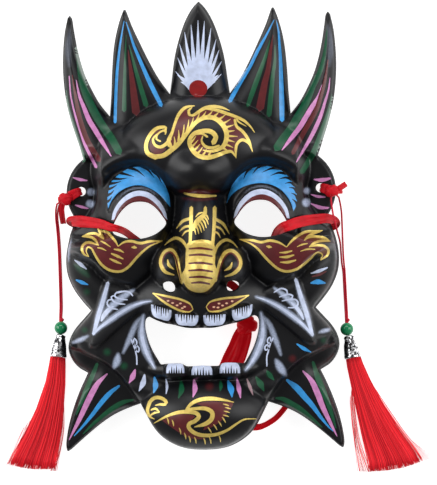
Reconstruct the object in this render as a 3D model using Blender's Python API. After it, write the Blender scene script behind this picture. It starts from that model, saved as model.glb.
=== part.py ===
"""An opera mask of thin black moulded plastic, lying on its back with its horns towards +Y.

The mask is one shell: a height over the plane that it lies on, worked out by height(), with
holes for the eyes, nostrils, mouth and ear ties. Red ribbons are tied through the ears and
round the sides, and a tassel hangs from each ear tie. Everything lies on the plane Z = 0.
"""

import math

import bmesh
import bpy
import numpy as np
from mathutils import Matrix, Vector, geometry

# Driving sizes, in metres
MASK_HEIGHT = 0.287
MASK_WALL = 0.0014
NOSE_HEIGHT = 0.076
FACE_EDGE_HEIGHT = 0.022
FACE_CROWN = 0.020
EAR_LIFT = 0.008
EAR_PLATE = 0.007
TIE_HOLE_RADIUS = 0.0029
TIE_WIDTH = 0.0036
TIE_THICKNESS = 0.0014
CORD_DIAMETER = 0.0012
BEAD_DIAMETER = 0.0084
CAP_TOP_RADIUS = 0.0032
CAP_MOUTH_RADIUS = 0.0055
CAP_LENGTH = 0.0144
SKIRT_THICKNESS = 0.0084
SKIRT_EDGE_THICKNESS = 0.0030
RIBBON_WIDTH = 0.008
BUNCHED_WIDTH = 0.005
FOLDED_WIDTH = 0.0036
RIBBON_THICKNESS = 0.0008
GAP = 0.0003

# The form below is drawn in millimetres, for a mask 287 mm high, and scaled by MM
DRAWN_HEIGHT = 287.0
MM = MASK_HEIGHT / DRAWN_HEIGHT
WALL = MASK_WALL / MM
NOSE_TIP = NOSE_HEIGHT / MM
SHIELD_EDGE = FACE_EDGE_HEIGHT / MM
SHIELD_CROWN = FACE_CROWN / MM
EAR_RISE = EAR_LIFT / MM
EAR_FLAT = EAR_PLATE / MM
HOLE_RADIUS = TIE_HOLE_RADIUS / MM

# Right half of the outline, from the middle horn's tip down to the chin, one smooth stretch a row
OUTLINE = [
    [(0, 143.5), (3.4, 140), (6.4, 135.6), (10.2, 127.6), (15.4, 110.2), (18.1, 92), (19.2, 84.4)],
    [(19.2, 84.4), (26.3, 94.5), (32.3, 105.6), (37.7, 116.9), (42.9, 128.4), (46.2, 137.4), (47.4, 140.2)],
    [(47.4, 140.2), (48.8, 137.2), (51.6, 129.1), (54.4, 116.5), (56, 100), (56.8, 84), (57.9, 70.8)],
    [(57.9, 70.8), (64.1, 78.7), (69, 87.5), (73.2, 96.7), (76.2, 106.3), (78.4, 116.1), (80.2, 127),
     (81.3, 134), (82.6, 135.8), (84.1, 134)],
    [(84.1, 134), (86, 125), (87.2, 113), (87.5, 101), (86.8, 89), (85.1, 77.4), (82.2, 66), (78.6, 54.8),
     (75, 43.6)],
    [(75, 43.6), (79.8, 39), (83.2, 33.8), (85.2, 28.4), (86, 22.6), (85.6, 16.9), (83.8, 11.3), (80.6, 5.2)],
    [(80.6, 5.2), (82.4, 0), (85, -7), (86.8, -15), (87.4, -22.5), (86.4, -30.5), (82.8, -39.3), (77.6, -46.8),
     (72, -53.4)],
    [(72, -53.4), (76.7, -58.6), (81.5, -64), (85.3, -70.3), (86.8, -77), (84.9, -83.7), (80.6, -89.4),
     (74.5, -93.2)],
    [(74.5, -93.2), (79, -102.7), (82.9, -112.4), (86.1, -122.5), (88.3, -132.7), (89, -140), (88, -143.3),
     (85.8, -142)],
    [(85.8, -142), (80.4, -137.2), (73.4, -131.2), (66, -125.3), (58.2, -120.2), (49.7, -116.3), (40.9, -113.2)],
    [(40.9, -113.2), (37.4, -120.1), (33.7, -127.1), (28.9, -133.3), (22.7, -138), (15.5, -141.4), (7.9, -143),
     (0, -143.4)],
]
EYE = [(21.6, 1.6), (24.2, 6.6), (28.2, 11.6), (32.6, 14.6), (38, 15.5), (43.4, 14.6), (48.6, 10.8), (52.8, 5.2),
       (55, 0.4), (55.4, -3.8), (51, -6.2), (45, -7.6), (38.4, -7.9), (32, -6.6), (26.4, -3.8)]
MOUTH = [(0, -64.9), (8.5, -64.6), (16, -63), (22.5, -61.6), (28.5, -59.4), (33.2, -57.4), (35.4, -58.8),
         (36, -63.4), (34.8, -70.2), (32.2, -77.6), (28.6, -84.2), (26.2, -87.6), (23.4, -87.2), (13, -87.2),
         (10.2, -88.8), (7, -88.9), (0, -88.4)]
NOSTRIL = [(16.4, -37.6), (18, -35.4), (21.4, -35.2), (23.8, -36.6), (23.4, -39.6), (19.8, -41.6), (16.8, -41)]
EAR_HOLE = (76.2, 22.8)


def smooth(points, step, closed=False):
    """Points about a step apart on a smooth curve through a few given ones."""
    p = np.array(points, float)
    if closed:
        p = np.concatenate([p[-1:], p, p[:2]])
    else:
        p = np.concatenate([2 * p[:1] - p[1:2], p, 2 * p[-1:] - p[-2:-1]])
    out = []
    for a, b, c, d in zip(p[:-3], p[1:-2], p[2:-1], p[3:]):
        n = max(1, round(float(np.linalg.norm(c - b)) / step))
        ta = max(1e-6, math.sqrt(np.linalg.norm(b - a)))
        tb = max(1e-6, math.sqrt(np.linalg.norm(c - b)))
        tc = max(1e-6, math.sqrt(np.linalg.norm(d - c)))
        m1 = (b - a) / ta - (c - a) / (ta + tb) + (c - b) / tb
        m2 = (c - b) / tb - (d - b) / (tb + tc) + (d - c) / tc
        t = np.arange(n)[:, None] / n
        out.append((2 * t**3 - 3 * t**2 + 1) * b + (t**3 - 2 * t**2 + t) * m1 * tb
                   + (3 * t**2 - 2 * t**3) * c + (t**3 - t**2) * m2 * tb)
    if not closed:
        out.append(p[-2:-1])
    return np.concatenate(out)


def mirrored(line):
    return line * np.array([-1.0, 1.0])


def whole_outline(step):
    half = np.concatenate([smooth(s, step)[:-1] for s in OUTLINE] + [np.array([OUTLINE[-1][-1]], float)])
    return np.concatenate([half, mirrored(half)[-2:0:-1]])


def distance(line, x, y, closed=False):
    """The distance from each point to a line of short straight runs."""
    line = np.asarray(line, float)
    a, b = (line, np.roll(line, -1, 0)) if closed else (line[:-1], line[1:])
    best = np.full(np.shape(x), np.inf)
    for (ax, ay), (bx, by) in zip(a, b):
        dx, dy = bx - ax, by - ay
        t = np.clip(((x - ax) * dx + (y - ay) * dy) / max(dx * dx + dy * dy, 1e-12), 0, 1)
        best = np.minimum(best, (x - ax - t * dx) ** 2 + (y - ay - t * dy) ** 2)
    return np.sqrt(best)


def inside(line, x, y):
    line = np.asarray(line, float)
    hit = np.zeros(np.shape(x), bool)
    for (ax, ay), (bx, by) in zip(line, np.roll(line, -1, 0)):
        if ay != by:
            hit ^= ((ay > y) != (by > y)) & (x < (bx - ax) * (y - ay) / (by - ay) + ax)
    return hit


def depth(line, x, y):
    """How deep each point is inside a closed line, and less than 0 outside it."""
    d = distance(line, x, y, True)
    return np.where(inside(line, x, y), d, -d)


def ease(t):
    t = np.clip(t, 0, 1)
    return t * t * (3 - 2 * t)


def blend_max(a, b, k):
    """The higher of two surfaces, with a fillet about k high where they meet."""
    h = np.clip(0.5 + 0.5 * (a - b) / k, 0, 1)
    return b + (a - b) * h + k * h * (1 - h)


def cap(x, y, cx, cy, rx, ry, low, high, power=0.5, turn=0.0):
    """A dome on an ellipse, which falls away steeply outside it."""
    c, s = math.cos(turn), math.sin(turn)
    u, v = (x - cx) * c + (y - cy) * s, (y - cy) * c - (x - cx) * s
    r = (u / rx) ** 2 + (v / ry) ** 2
    return np.where(r < 1, low + (high - low) * np.maximum(1 - r, 0) ** power, low - 30 * (np.sqrt(r) - 1))


EDGE = whole_outline(2.5)
# Creases, right half
FACE_LINE = [(0, 81.3), (9.2, 80.9), (18.2, 79.5), (26.9, 76.7), (35.1, 72.7), (42.5, 67.4), (48.6, 60.6),
             (52.6, 53), (60, 44), (67.6, 34), (67.6, 25.9), (68.4, 17), (71, 9.6), (75.4, 4), (80.4, 0), (86, -3)]
JAW = [(88.4, -76), (80, -79), (72.6, -82.3), (65.6, -85.8), (59.6, -89.8), (54, -95), (49.1, -101.2),
       (44.6, -107.6), (40, -114.6)]
CHEEK_LOW = [(90, -14.4), (82.6, -17.2), (76.1, -20.6), (71.6, -23), (68.3, -25.9), (65, -30), (60.4, -34),
             (53.7, -37), (44.8, -39.2), (38, -38.6), (32, -34)]
PLATE = [(43, -38.6), (60.4, -33.6), (64.4, -42), (67.4, -52), (70, -62), (72.2, -72), (71.4, -76.6),
         (67.6, -76.8), (63.5, -74.7), (56.2, -68.3), (48.9, -62), (41.3, -55.6), (35.6, -50.6), (37, -43)]
SOCKET = [(58, 34.6), (54, 37.4), (49.6, 38.9), (44.6, 40), (39.4, 40.3), (34.4, 39.6), (29.6, 37.6), (25.2, 34.4),
          (21.4, 30), (18.9, 24.6), (17.7, 18.6), (17.5, 12.4), (18, 5)]
SOCKET_FLOOR = [(20, -3), (27, -10.4), (36, -13.4), (46, -13), (55, -9.4), (61.4, -1.6), (64, 8), (64, 18),
                (62, 28)]
BROW_ROLL = [(62, 36), (55, 41.6), (46, 45), (36.2, 45.6), (27.8, 43.6), (20.5, 39)]
LID = [(57.4, 10), (55.2, 15), (52, 19), (48, 21.8), (43, 23.6), (38.6, 24), (33.6, 23), (28.6, 20), (24.6, 15.6),
       (21.6, 10)]
GUM = [(0, -98), (14, -97.6), (28.6, -96.6), (38, -92)]
UPPER_TEETH = [(8.9, -60.4, 7.9, 6.4, 48.5), (25.6, -56.4, 7.2, 6.8, 46.5)]
LOWER_TEETH = [(0.0, -92.2, 7.2, 5.6, 46.5), (17.5, -91.8, 7.0, 5.6, 45.0)]


def edge_rise(d, wall, draft, crown, reach):
    """The height over the rim at a distance d inside the outline: a steep wall and a rounded shoulder."""
    t = np.clip(d / reach, 0, 1)
    return wall * np.clip(d / draft, 0, 1) + crown * np.sqrt(1 - (1 - t) ** 2)


def rim(x, y):
    """How high the mask's edge is over what it lies on."""
    ax = np.abs(x)
    ear = EAR_RISE * ease((ax - 60) / 12) * ease((y + 9) / 6) * ease((52 - y) / 8)
    chin = 3.0 * ease((-97 - y) / 8)
    return ear + chin


def ring_of(half):
    """A closed line from its right half, which starts and ends on the middle line."""
    half = np.asarray(half, float)
    return np.concatenate([half, mirrored(half)[::-1]])


FACE = ring_of(np.concatenate([smooth(FACE_LINE, 3), [(100, -6), (100, -75)], smooth(JAW, 3), [(37, -150)]]))
PLATE_LINE = smooth(PLATE, 3, True)
SOCKET_RING = smooth(SOCKET + SOCKET_FLOOR, 3, True)
CHEEK_TOP = [(22, -20), (22, 10), (46, 4), (55, -3), (66, -7), (76, -9), (92, -11)]
CHEEK_AREA = np.concatenate([smooth(CHEEK_LOW, 3), CHEEK_TOP])
BROW_LINE, LID_LINE, GUM_LINE = smooth(BROW_ROLL, 3), smooth(LID, 3), smooth(GUM, 4)


def groove(line, x, y, deep, wide):
    """A channel along a line of the right half."""
    return deep * np.maximum(0, 1 - distance(line, x, y) / wide) ** 1.5


def tooth(x, y, cx, cy, rx, ry, low, top):
    """A pillow with a rounded square outline."""
    r = np.abs((x - cx) / rx) ** 3 + np.abs((y - cy) / ry) ** 3
    return np.where(r < 1, low + (top - low) * np.maximum(1 - r, 0) ** 0.4, -99)


def height(x, y):
    """The height of the mask's front over what it lies on."""
    x, y = np.abs(np.asarray(x, float)), np.asarray(y, float)
    d = np.maximum(depth(EDGE, x, y), 0)
    r = rim(x, y)
    # Horns and spikes, round in section, and the flat ears
    horn = 17 + 4 * ease((140 - y) / 60) + 9 * ease((72 - y) / 34) * ease((x - 44) / 14)
    spike = 15 + 5 * ease((y + 142) / 45)
    level = np.where(y > 20, horn, spike)
    low = np.minimum(level, r + edge_rise(d, 7.0, 1.1, 13.0, 13.0))
    ear = ease((46 - y) / 5) * ease((y + 30) / 12) * ease((x - 60) / 6)
    low = low + ((r + EAR_FLAT * edge_rise(d, 0.64, 1.0, 0.36, 3.0)) - low) * ear
    # The face's shield
    across = (x / 90) ** 2 + ((y + 25) / 108) ** 2
    shield = SHIELD_EDGE + SHIELD_CROWN * np.sqrt(np.maximum(0, 1 - across)) - 13 * ease((y - 32) / 26)
    shield = shield - 8 * ease((x - 54) / 18) * ease((y + 13) / 9) * ease((40 - y) / 16)
    shield = np.minimum(shield, r + edge_rise(d, 13.0, 2.6, 18.0, 19.0))
    f = depth(FACE, x, y)
    h = low + (np.maximum(shield, low + 1.5) - low) * ease((f + 0.4) / 3.0)
    # The forehead, with a ball over the nose
    brow = cap(x, y, 0, 50, 51.4, 31.8, 20, 52, 0.42)
    ball = cap(x, y, 0, 35.5, 23, 18, 34, 58, 0.6)
    h = np.maximum(h, blend_max(brow, ball, 6))
    # Each eye: a roll over a socket, and in the socket a dome for the eyeball with its lid
    roll = 44 - 0.16 * distance(BROW_LINE, x, y) ** 1.7 - 6 * ease((x - 44) / 20) - 2.4 * np.maximum(0, x - 62)
    h = blend_max(h, roll, 3)
    socket = depth(SOCKET_RING, x, y)
    h = h + (np.minimum(h, 30) - h) * ease(socket / 6)
    eye = cap(x, y, 39, 8, 27, 36, 23, 42.5, 0.5)
    h = np.where(socket > -1, blend_max(h, eye, 1.5), h)
    h = h - groove(SOCKET_RING[:44], x, y, 2.6, 3.6) - groove(LID_LINE, x, y, 1.5, 2.0)
    # Cheeks, which hang over the crease below them
    over = depth(CHEEK_AREA, x, y)
    cheek = cap(x, y, 55, -11, 36, 31, 26, 46, 0.5)
    cheek = np.minimum(cheek, r + edge_rise(d, 13.0, 2.6, 34.0, 22.0))
    h = np.where(over > 0, h + (np.maximum(blend_max(h, cheek, 3), h) - h) * ease(over / 4), h)
    h = np.where((over <= 0) & (y < -8), h - 1.6 * np.maximum(0, 1 + over / 5), h)
    # Tusk plates
    h = h + 4.0 * ease((depth(PLATE_LINE, x, y) + 0.4) / 2.2)
    # Upper lip, lower lip and chin
    h = blend_max(h, cap(x, y, 0, -46, 44, 24, 26, 46, 0.5), 2.5)
    chin = cap(x, y, 0, -119.5, 42, 25.5, 22, 50, 0.5)
    lower = cap(x, y, 0, -91, 38, 11, 24, 40, 0.5)
    h = blend_max(h, blend_max(chin, lower, 1), 2) - groove(GUM_LINE, x, y, 1.6, 3.4)
    # Nose
    bridge = cap(x, y, 0, -8, 14.5, 33, 38, 60, 0.5)
    tip = cap(x, y, 0, -27, 14.6, 17.4, 44, NOSE_TIP, 0.5)
    wing = cap(x, y, 18.6, -26, 12, 13.6, 38, 61, 0.5)
    h = blend_max(h, blend_max(blend_max(bridge, tip, 6), wing, 2), 3)
    for cx, cy, rx, ry, top in UPPER_TEETH:
        h = np.maximum(h, tooth(x, y, cx, cy, rx, ry, 38, top))
    for cx, cy, rx, ry, top in LOWER_TEETH:
        h = np.maximum(h, tooth(x, y, cx, cy, rx, ry, 36, top))
    return np.minimum(h, r + edge_rise(d, 15.0, 2.6, 72.0, 40.0))

# Mesh spacing, in the drawing's millimetres
OUTLINE_STEP = 5.5
HOLE_STEP = 4.0
NOSTRIL_STEP = 2.6
CREASE_STEP = 5.0
FIELD_STEP = 6.0
SHOULDER = 3.8

# Routes, as points in millimetres: (X, Y, Z)
TIE_KNOT_RADII = (4.9, 4.4, 3.6)
TIE_STEP = 2.6
TIE_LEFT_KNOT = (-86.2, 18.2, 19.2)
TIE_LEFT_LOOP = [(-83.4, 19.8, 18.6), (-79.6, 21.8, 18.4), (-76.9, 22.7, 17.2), (-76.2, 22.8, 14.4),
                 (-76.8, 22.6, 11), (-79.8, 21.4, 7.4), (-84, 19.8, 5.4), (-87.6, 18.8, 5.2), (-90, 18.2, 8.4),
                 (-90.6, 18, 13), (-89, 18, 18)]
TIE_LEFT_TAIL = [(-87.6, 16.4, 18.6), (-88.8, 12, 16.6), (-88.8, 7, 12.2), (-88.4, 2.6, 7.4)]
TIE_RIGHT_KNOT = (83.4, 20.6, 19.2)
TIE_RIGHT_LOOP = [(81, 21.4, 18.6), (78.2, 22.4, 18.2), (76.3, 22.8, 15.4), (76.6, 22.6, 11), (80, 21.6, 7),
                  (84.4, 20.8, 5.2), (88, 20.6, 6.2), (89.9, 20.6, 10.4), (89.6, 20.6, 15), (86.4, 20.6, 18.6)]
TIE_RIGHT_TAIL = [(86.6, 21.6, 19), (89.4, 23, 18.4), (92.6, 25, 16.6)]
CORDS = {
    "tassel_cord_left_a": [(-90.2, 14.2, 15.2), (-91.4, 10.4, 10.6), (-91.9, 5.6, 5), (-91.6, 0.4, 1.9),
                           (-91.2, -6, 0.95), (-90.8, -14, 0.95), (-90.5, -26, 0.95), (-90.3, -40, 0.95),
                           (-90.2, -50, 1), (-90.4, -55.6, 2), (-90.6, -59.5, 3.8)],
    "tassel_cord_left_b": [(-92, 15, 16), (-93.1, 10.8, 11.2), (-93.5, 5.8, 5.4), (-93.2, 0.4, 2.1),
                           (-92.8, -6, 0.95), (-92.4, -14, 0.95), (-92.1, -26, 0.95), (-91.9, -40, 0.95),
                           (-91.8, -50, 1), (-92, -55.6, 2), (-92, -59.5, 3.8)],
    "tassel_cord_right_a": [(88, 16.6, 14.6), (88.9, 12.4, 10.4), (89.6, 7, 5), (89.8, 1.4, 1.9),
                            (90, -6, 0.95), (90.4, -21.4, 0.95), (91.2, -31.2, 0.95), (91.7, -44.3, 0.95),
                            (92.1, -54, 1), (92.3, -59, 2), (92.3, -63, 3.8)],
    "tassel_cord_right_b": [(82.6, 14.6, 19.2), (83.4, 8, 22.6), (84.6, 1.6, 24.8), (86.2, -5, 20), (87.9, -12, 12),
                            (88.4, -19, 4.6), (88.8, -25.4, 1.6), (89.6, -31.2, 0.95), (90.1, -44.3, 0.95),
                            (90.5, -54, 1), (90.7, -59, 2), (90.8, -63, 3.8)],
}
BEADS = {"left": (-91.2, -64.1), "right": (91.6, -67.6)}
CAPS = {"left": ((-91.4, -68.4), (-93.2, -82.4)), "right": ((92.6, -71.9), (95.1, -86.1))}
SKIRTS = {
    "left": [(-93.3, -83.2, 9.8), (-95.1, -99, 12.6), (-99.2, -117.7, 17.5), (-103.8, -132.9, 23),
             (-109.6, -147.4, 28.6), (-111.7, -154.2, 31.4)],
    "right": [(95.4, -87.3, 9.8), (99.9, -102.1, 13.2), (105.2, -117.3, 18), (111.4, -132.6, 24.5),
              (118.4, -147.6, 31.8), (121, -153.4, 35), (121.8, -157.6, 37)],
}
RIBBON_KNOT = (27.5, -64, 5.2)
RIBBON_KNOT_RADII = (7.4, 6.6, 4.8)
RIBBON_STEP = 7.0
RIBBON_WIDTHS = {
    "ribbon_left": (BUNCHED_WIDTH,),
    "ribbon_right": (BUNCHED_WIDTH,),
    "ribbon_tail_left": (RIBBON_WIDTH, RIBBON_WIDTH, FOLDED_WIDTH, FOLDED_WIDTH),
    "ribbon_tail_right": (RIBBON_WIDTH,),
}
RIBBONS = {
    "ribbon_left": [(19.4, -60.6, 4.4), (8, -57, 1.6), (-10, -52, 0.9), (-34, -42, 0.9), (-56, -25, 0.9),
                    (-70, -10.5, 0.9), (-77.6, -0.6, 1.6), (-81.8, 2.8, 4.2), (-83.2, 3.7, 9), (-83.1, 4, 14.6),
                    (-80.8, 4, 18.8), (-77.4, 3.8, 24), (-72, 3.2, 27.6), (-66, 2.4, 33), (-61, 1.3, 37.8),
                    (-57, -0.3, 41.2), (-53, -1.1, 41.6), (-50, -2.2, 37), (-47, -4, 29), (-43, -7.4, 20),
                    (-34, -14, 9), (-22, -20.4, 4.4), (-6, -27, 3), (8, -33.4, 3), (19.4, -38.8, 4),
                    (24.6, -46.4, 4.6), (26.8, -55.6, 5.4)],
    "ribbon_right": [(31.4, -56.2, 4.6), (40, -44, 2), (54, -27, 0.9), (68, -13, 0.9), (77.6, -4.6, 1.4),
                     (83.6, -1.8, 3.4), (85.6, -0.6, 7), (85.4, 1, 12.4), (83.2, 2.6, 17.4), (78.6, 3.2, 23.6),
                     (72, 2.6, 28), (66, 1.8, 32.6), (61, 0.7, 37.6), (57, -0.7, 41.2), (53.6, -1.6, 41.8),
                     (51, -3, 37), (48.6, -5.4, 29), (46.4, -10, 20), (43, -19, 10), (40, -32, 6), (37, -46, 6),
                     (35.4, -57, 6.2)],
    "ribbon_tail_left": [(22.6, -71.4, 2.4), (19.6, -78, 1.2), (14.8, -87.6, 0.9), (10.6, -100, 0.9),
                         (12.4, -114, 0.9), (21, -125, 0.9), (32.6, -129.6, 0.9), (43.4, -125.3, 0.9), (51, -117.6, 0.9),
                         (57, -108, 0.9), (62, -96, 0.9)],
    "ribbon_tail_right": [(26.6, -72.2, 4.6), (25, -78, 3.2), (21.6, -87, 2.6), (14, -97, 2.9),
                          (2, -104, 1.9), (-10, -110, 0.9), (-14, -119, 0.9), (-8, -127.6, 0.9), (0, -126, 0.9), (-1.6, -118, 0.9)],
}


def material(name, colour, roughness, metallic=0.0):
    made = bpy.data.materials.new(name)
    made.use_nodes = True
    shader = made.node_tree.nodes["Principled BSDF"]
    shader.inputs["Base Color"].default_value = (*colour, 1)
    shader.inputs["Roughness"].default_value = roughness
    shader.inputs["Metallic"].default_value = metallic
    return made


def place(obj, finish):
    obj.data.materials.append(finish)
    bpy.data.collections["opera_mask"].objects.link(obj)
    return obj


def drawn(points):
    """The drawing's millimetres as metres."""
    return np.asarray(points, float) * MM


def inward(line, wide):
    """Points at a distance inside a closed line that runs clockwise, without those crowded out at a tip."""
    before, after = line - np.roll(line, 1, 0), np.roll(line, -1, 0) - line
    before /= np.linalg.norm(before, axis=1)[:, None]
    after /= np.linalg.norm(after, axis=1)[:, None]
    normal = np.stack([(before + after)[:, 1], -(before + after)[:, 0]], 1)
    normal /= np.maximum(np.linalg.norm(normal, axis=1), 1e-9)[:, None]
    stretch = 1 / np.clip((normal * np.stack([after[:, 1], -after[:, 0]], 1)).sum(1), 0.45, 1)
    moved = line + normal * (wide * stretch)[:, None]
    kept = depth(EDGE, moved[:, 0], moved[:, 1]) > 0.86 * wide
    return moved, kept


def hole_lines():
    """The edges of the holes, each as a closed line."""
    eye, nostril = smooth(EYE, HOLE_STEP, True), smooth(NOSTRIL, NOSTRIL_STEP, True)
    half = smooth(MOUTH, HOLE_STEP)
    turns = np.arange(12) / 12 * math.tau
    tie = np.array(EAR_HOLE) + HOLE_RADIUS * np.stack([np.cos(turns), np.sin(turns)], 1)
    mouth = np.concatenate([half, mirrored(half)[-2:0:-1]])
    return [eye, mirrored(eye), nostril, mirrored(nostril), tie, mirrored(tie), mouth]


def tooth_line(cx, cy, rx, ry):
    turns = (np.arange(10) + 0.5) / 10 * math.tau
    c, s = np.cos(turns), np.sin(turns)
    return np.stack([cx + rx * np.sign(c) * abs(c) ** 0.67, cy + ry * np.sign(s) * abs(s) ** 0.67], 1)


def crease_lines():
    """Where the form turns sharply, as open lines of points that the mesh keeps."""
    half = [smooth(line, CREASE_STEP) for line in (FACE_LINE, JAW, CHEEK_LOW, SOCKET, LID, GUM)]
    half.append(smooth(PLATE, CREASE_STEP, True))
    half += [tooth_line(*t[:4]) for t in UPPER_TEETH + LOWER_TEETH]
    both = half + [mirrored(line) for line in half]
    return both


def spread_points(step):
    """A field of points in rows of triangles over the whole mask."""
    rise = step * math.sqrt(3) / 2
    rows = np.arange(-DRAWN_HEIGHT / 2, DRAWN_HEIGHT / 2, rise)
    columns = np.arange(-90, 90, step)
    return np.array([(x + (i % 2) * step / 2, y) for i, y in enumerate(rows) for x in columns])


def near(points, others, reach):
    return (np.linalg.norm(points[:, None] - others[None], axis=2) < reach).any(1)


def mask_shell(finish):
    """The shell: one net of triangles in plan, lifted to the front's height and again to the back's."""
    outline = whole_outline(OUTLINE_STEP)
    lip, lip_kept = inward(outline, WALL)
    shoulder, shoulder_kept = inward(outline, SHOULDER)
    holes = hole_lines()
    points, edges, kind = [], [], []

    def add(line, tag, kept=None, closed=True):
        """Adds the kept points of a line, and an edge between each two that follow each other."""
        kept = np.ones(len(line), bool) if kept is None else kept
        number = len(points) + np.cumsum(kept) - 1
        points.extend(line[kept])
        kind.extend([tag] * int(kept.sum()))
        for i in range(len(line) if closed else len(line) - 1):
            j = (i + 1) % len(line)
            if kept[i] and kept[j]:
                edges.append((number[i], number[j]))

    add(outline, "outline")
    add(lip, "lip", lip_kept)
    add(shoulder, "shoulder", shoulder_kept)
    for line in holes:
        add(line, "hole")
    hole_points = np.concatenate(holes)
    taken = [hole_points]
    for line in crease_lines():
        clear = (depth(EDGE, line[:, 0], line[:, 1]) > SHOULDER + 0.8) & ~near(line, hole_points, 1.6)
        clear &= ~np.any([inside(h, line[:, 0], line[:, 1]) for h in holes], axis=0)
        clear &= ~near(line, np.concatenate(taken), 1.5)
        add(line, "field", clear, closed=False)
        if clear.any():
            taken.append(line[clear])
    field = spread_points(FIELD_STEP)
    field = field[depth(EDGE, field[:, 0], field[:, 1]) > SHOULDER + 0.4 * FIELD_STEP]
    field = field[~near(field, np.concatenate(taken), 0.55 * FIELD_STEP)]
    field = field[~np.any([inside(h, field[:, 0], field[:, 1]) for h in holes], axis=0)]
    points.extend(field)
    kind.extend(["field"] * len(field))

    flat, _, faces, from_points, _, _ = geometry.delaunay_2d_cdt(
        [Vector((float(a), float(b))) for a, b in points], edges, [], 0, 1e-6)
    xy = np.array([tuple(v) for v in flat])
    tags = [{kind[i] for i in found} for found in from_points]
    at_edge = np.array(["outline" in t for t in tags])
    at_lip = np.array(["lip" in t for t in tags])
    faces = np.array([f for f in faces if len(f) == 3])
    middle = xy[faces].mean(axis=1)
    kept = inside(outline, middle[:, 0], middle[:, 1]) & ~at_edge[faces].all(axis=1)
    for hole in holes:
        kept &= ~inside(hole, middle[:, 0], middle[:, 1])
    faces = faces[kept]

    x, y = xy[:, 0], xy[:, 1]
    edge_height = rim(x, y)
    front = np.where(at_edge, edge_height, height(x, y))
    step = 0.5
    across = height(x + step, y) - height(x - step, y)
    along = height(x, y + step) - height(x, y - step)
    steep = np.hypot(across, along) / step / 2
    back = np.maximum(front - WALL * np.minimum(np.sqrt(1 + steep ** 2), 3.0), edge_height)
    back = np.where(at_edge | at_lip, edge_height, back)

    bm = bmesh.new()
    used = np.unique(faces)
    top = {i: bm.verts.new(drawn((x[i], y[i], front[i]))) for i in used}
    under = {i: top[i] if at_edge[i] else bm.verts.new(drawn((x[i], y[i], back[i]))) for i in used}
    for a, b, c in faces:
        bm.faces.new((top[a], top[b], top[c]))
        bm.faces.new((under[c], under[b], under[a]))
    sides = {(a, b) for face in faces for a, b in zip(face, np.roll(face, -1))}
    for a, b in sides:
        if (b, a) not in sides and not (at_edge[a] and at_edge[b]):
            bm.faces.new((top[b], top[a], under[a], under[b]))
    bmesh.ops.recalc_face_normals(bm, faces=bm.faces)
    mesh = bpy.data.meshes.new("mask_shell")
    bm.to_mesh(mesh)
    bm.free()
    mesh.shade_smooth()
    mesh.set_sharp_from_angle(angle=math.radians(40))
    return place(bpy.data.objects.new("mask_shell", mesh), finish)


def route(points, spacing):
    """Points about the spacing apart on a smooth curve through a route's own points, in metres."""
    line = smooth3(points, 1.0)
    along = np.concatenate([[0], np.cumsum(np.linalg.norm(np.diff(line, axis=0), axis=1))])
    at = np.linspace(0, along[-1], max(4, round(along[-1] / spacing) + 1))
    return drawn(np.stack([np.interp(at, along, line[:, k]) for k in range(3)], 1))


def smooth3(points, step):
    """smooth() for points in space."""
    plan = np.asarray(points, float)
    plan = np.concatenate([2 * plan[:1] - plan[1:2], plan, 2 * plan[-1:] - plan[-2:-1]])
    out = []
    for a, b, c, d in zip(plan[:-3], plan[1:-2], plan[2:-1], plan[3:]):
        n = max(2, round(float(np.linalg.norm(c - b)) / step))
        t = np.arange(n)[:, None] / n
        out.append(0.5 * (2 * b + (c - a) * t + (2 * a - 5 * b + 4 * c - d) * t ** 2
                          + (3 * b - a - 3 * c + d) * t ** 3))
    out.append(plan[-2:-1])
    return np.concatenate(out)


def curve_object(name, points):
    curve = bpy.data.curves.new(name, "CURVE")
    curve.dimensions = "3D"
    spline = curve.splines.new("POLY")
    spline.points.add(len(points) - 1)
    for point, place_at in zip(spline.points, points):
        point.co = (*place_at, 1)
    curve.use_fill_caps = True
    curve.bevel_resolution = 2
    return bpy.data.objects.new(name, curve)


def cord(name, points, finish):
    made = curve_object(name, route(points, 3 * CORD_DIAMETER / MM))
    made.data.bevel_depth = CORD_DIAMETER / 2
    return place(made, finish)


def band(name, points, widths, thickness, spacing):
    """A flat band: a rectangle carried along the route, level across and square to it."""
    line = route(points, spacing)
    share = np.linspace(0, 1, len(line))
    halves = np.interp(share, np.linspace(0, 1, len(widths)), widths)[:, None] / 2
    ahead = np.gradient(line, axis=0)
    ahead /= np.linalg.norm(ahead, axis=1)[:, None]
    across = np.cross(ahead, (0, 0, 1))
    length = np.linalg.norm(across, axis=1)[:, None]
    across = across / np.maximum(length, 1e-6)
    for i in range(1, len(across)):
        if across[i] @ across[i - 1] < 0:
            across[i] *= -1
    for _ in range(2):
        across[1:-1] = across[:-2] + 2 * across[1:-1] + across[2:]
        across -= (across * ahead).sum(1)[:, None] * ahead
        across /= np.linalg.norm(across, axis=1)[:, None]
    up = np.cross(across, ahead)
    bm = bmesh.new()
    rings = []
    for p, w, n in zip(line, across * halves, up * thickness / 2):
        rings.append([bm.verts.new(p + q) for q in (w + n, n - w, -w - n, w - n)])
    for a, b in zip(rings[:-1], rings[1:]):
        for i in range(4):
            bm.faces.new((a[i], a[(i + 1) % 4], b[(i + 1) % 4], b[i]))
    bm.faces.new(rings[0])
    bm.faces.new(rings[-1][::-1])
    bmesh.ops.recalc_face_normals(bm, faces=bm.faces)
    mesh = bpy.data.meshes.new(name)
    bm.to_mesh(mesh)
    bm.free()
    return bpy.data.objects.new(name, mesh)


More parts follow.
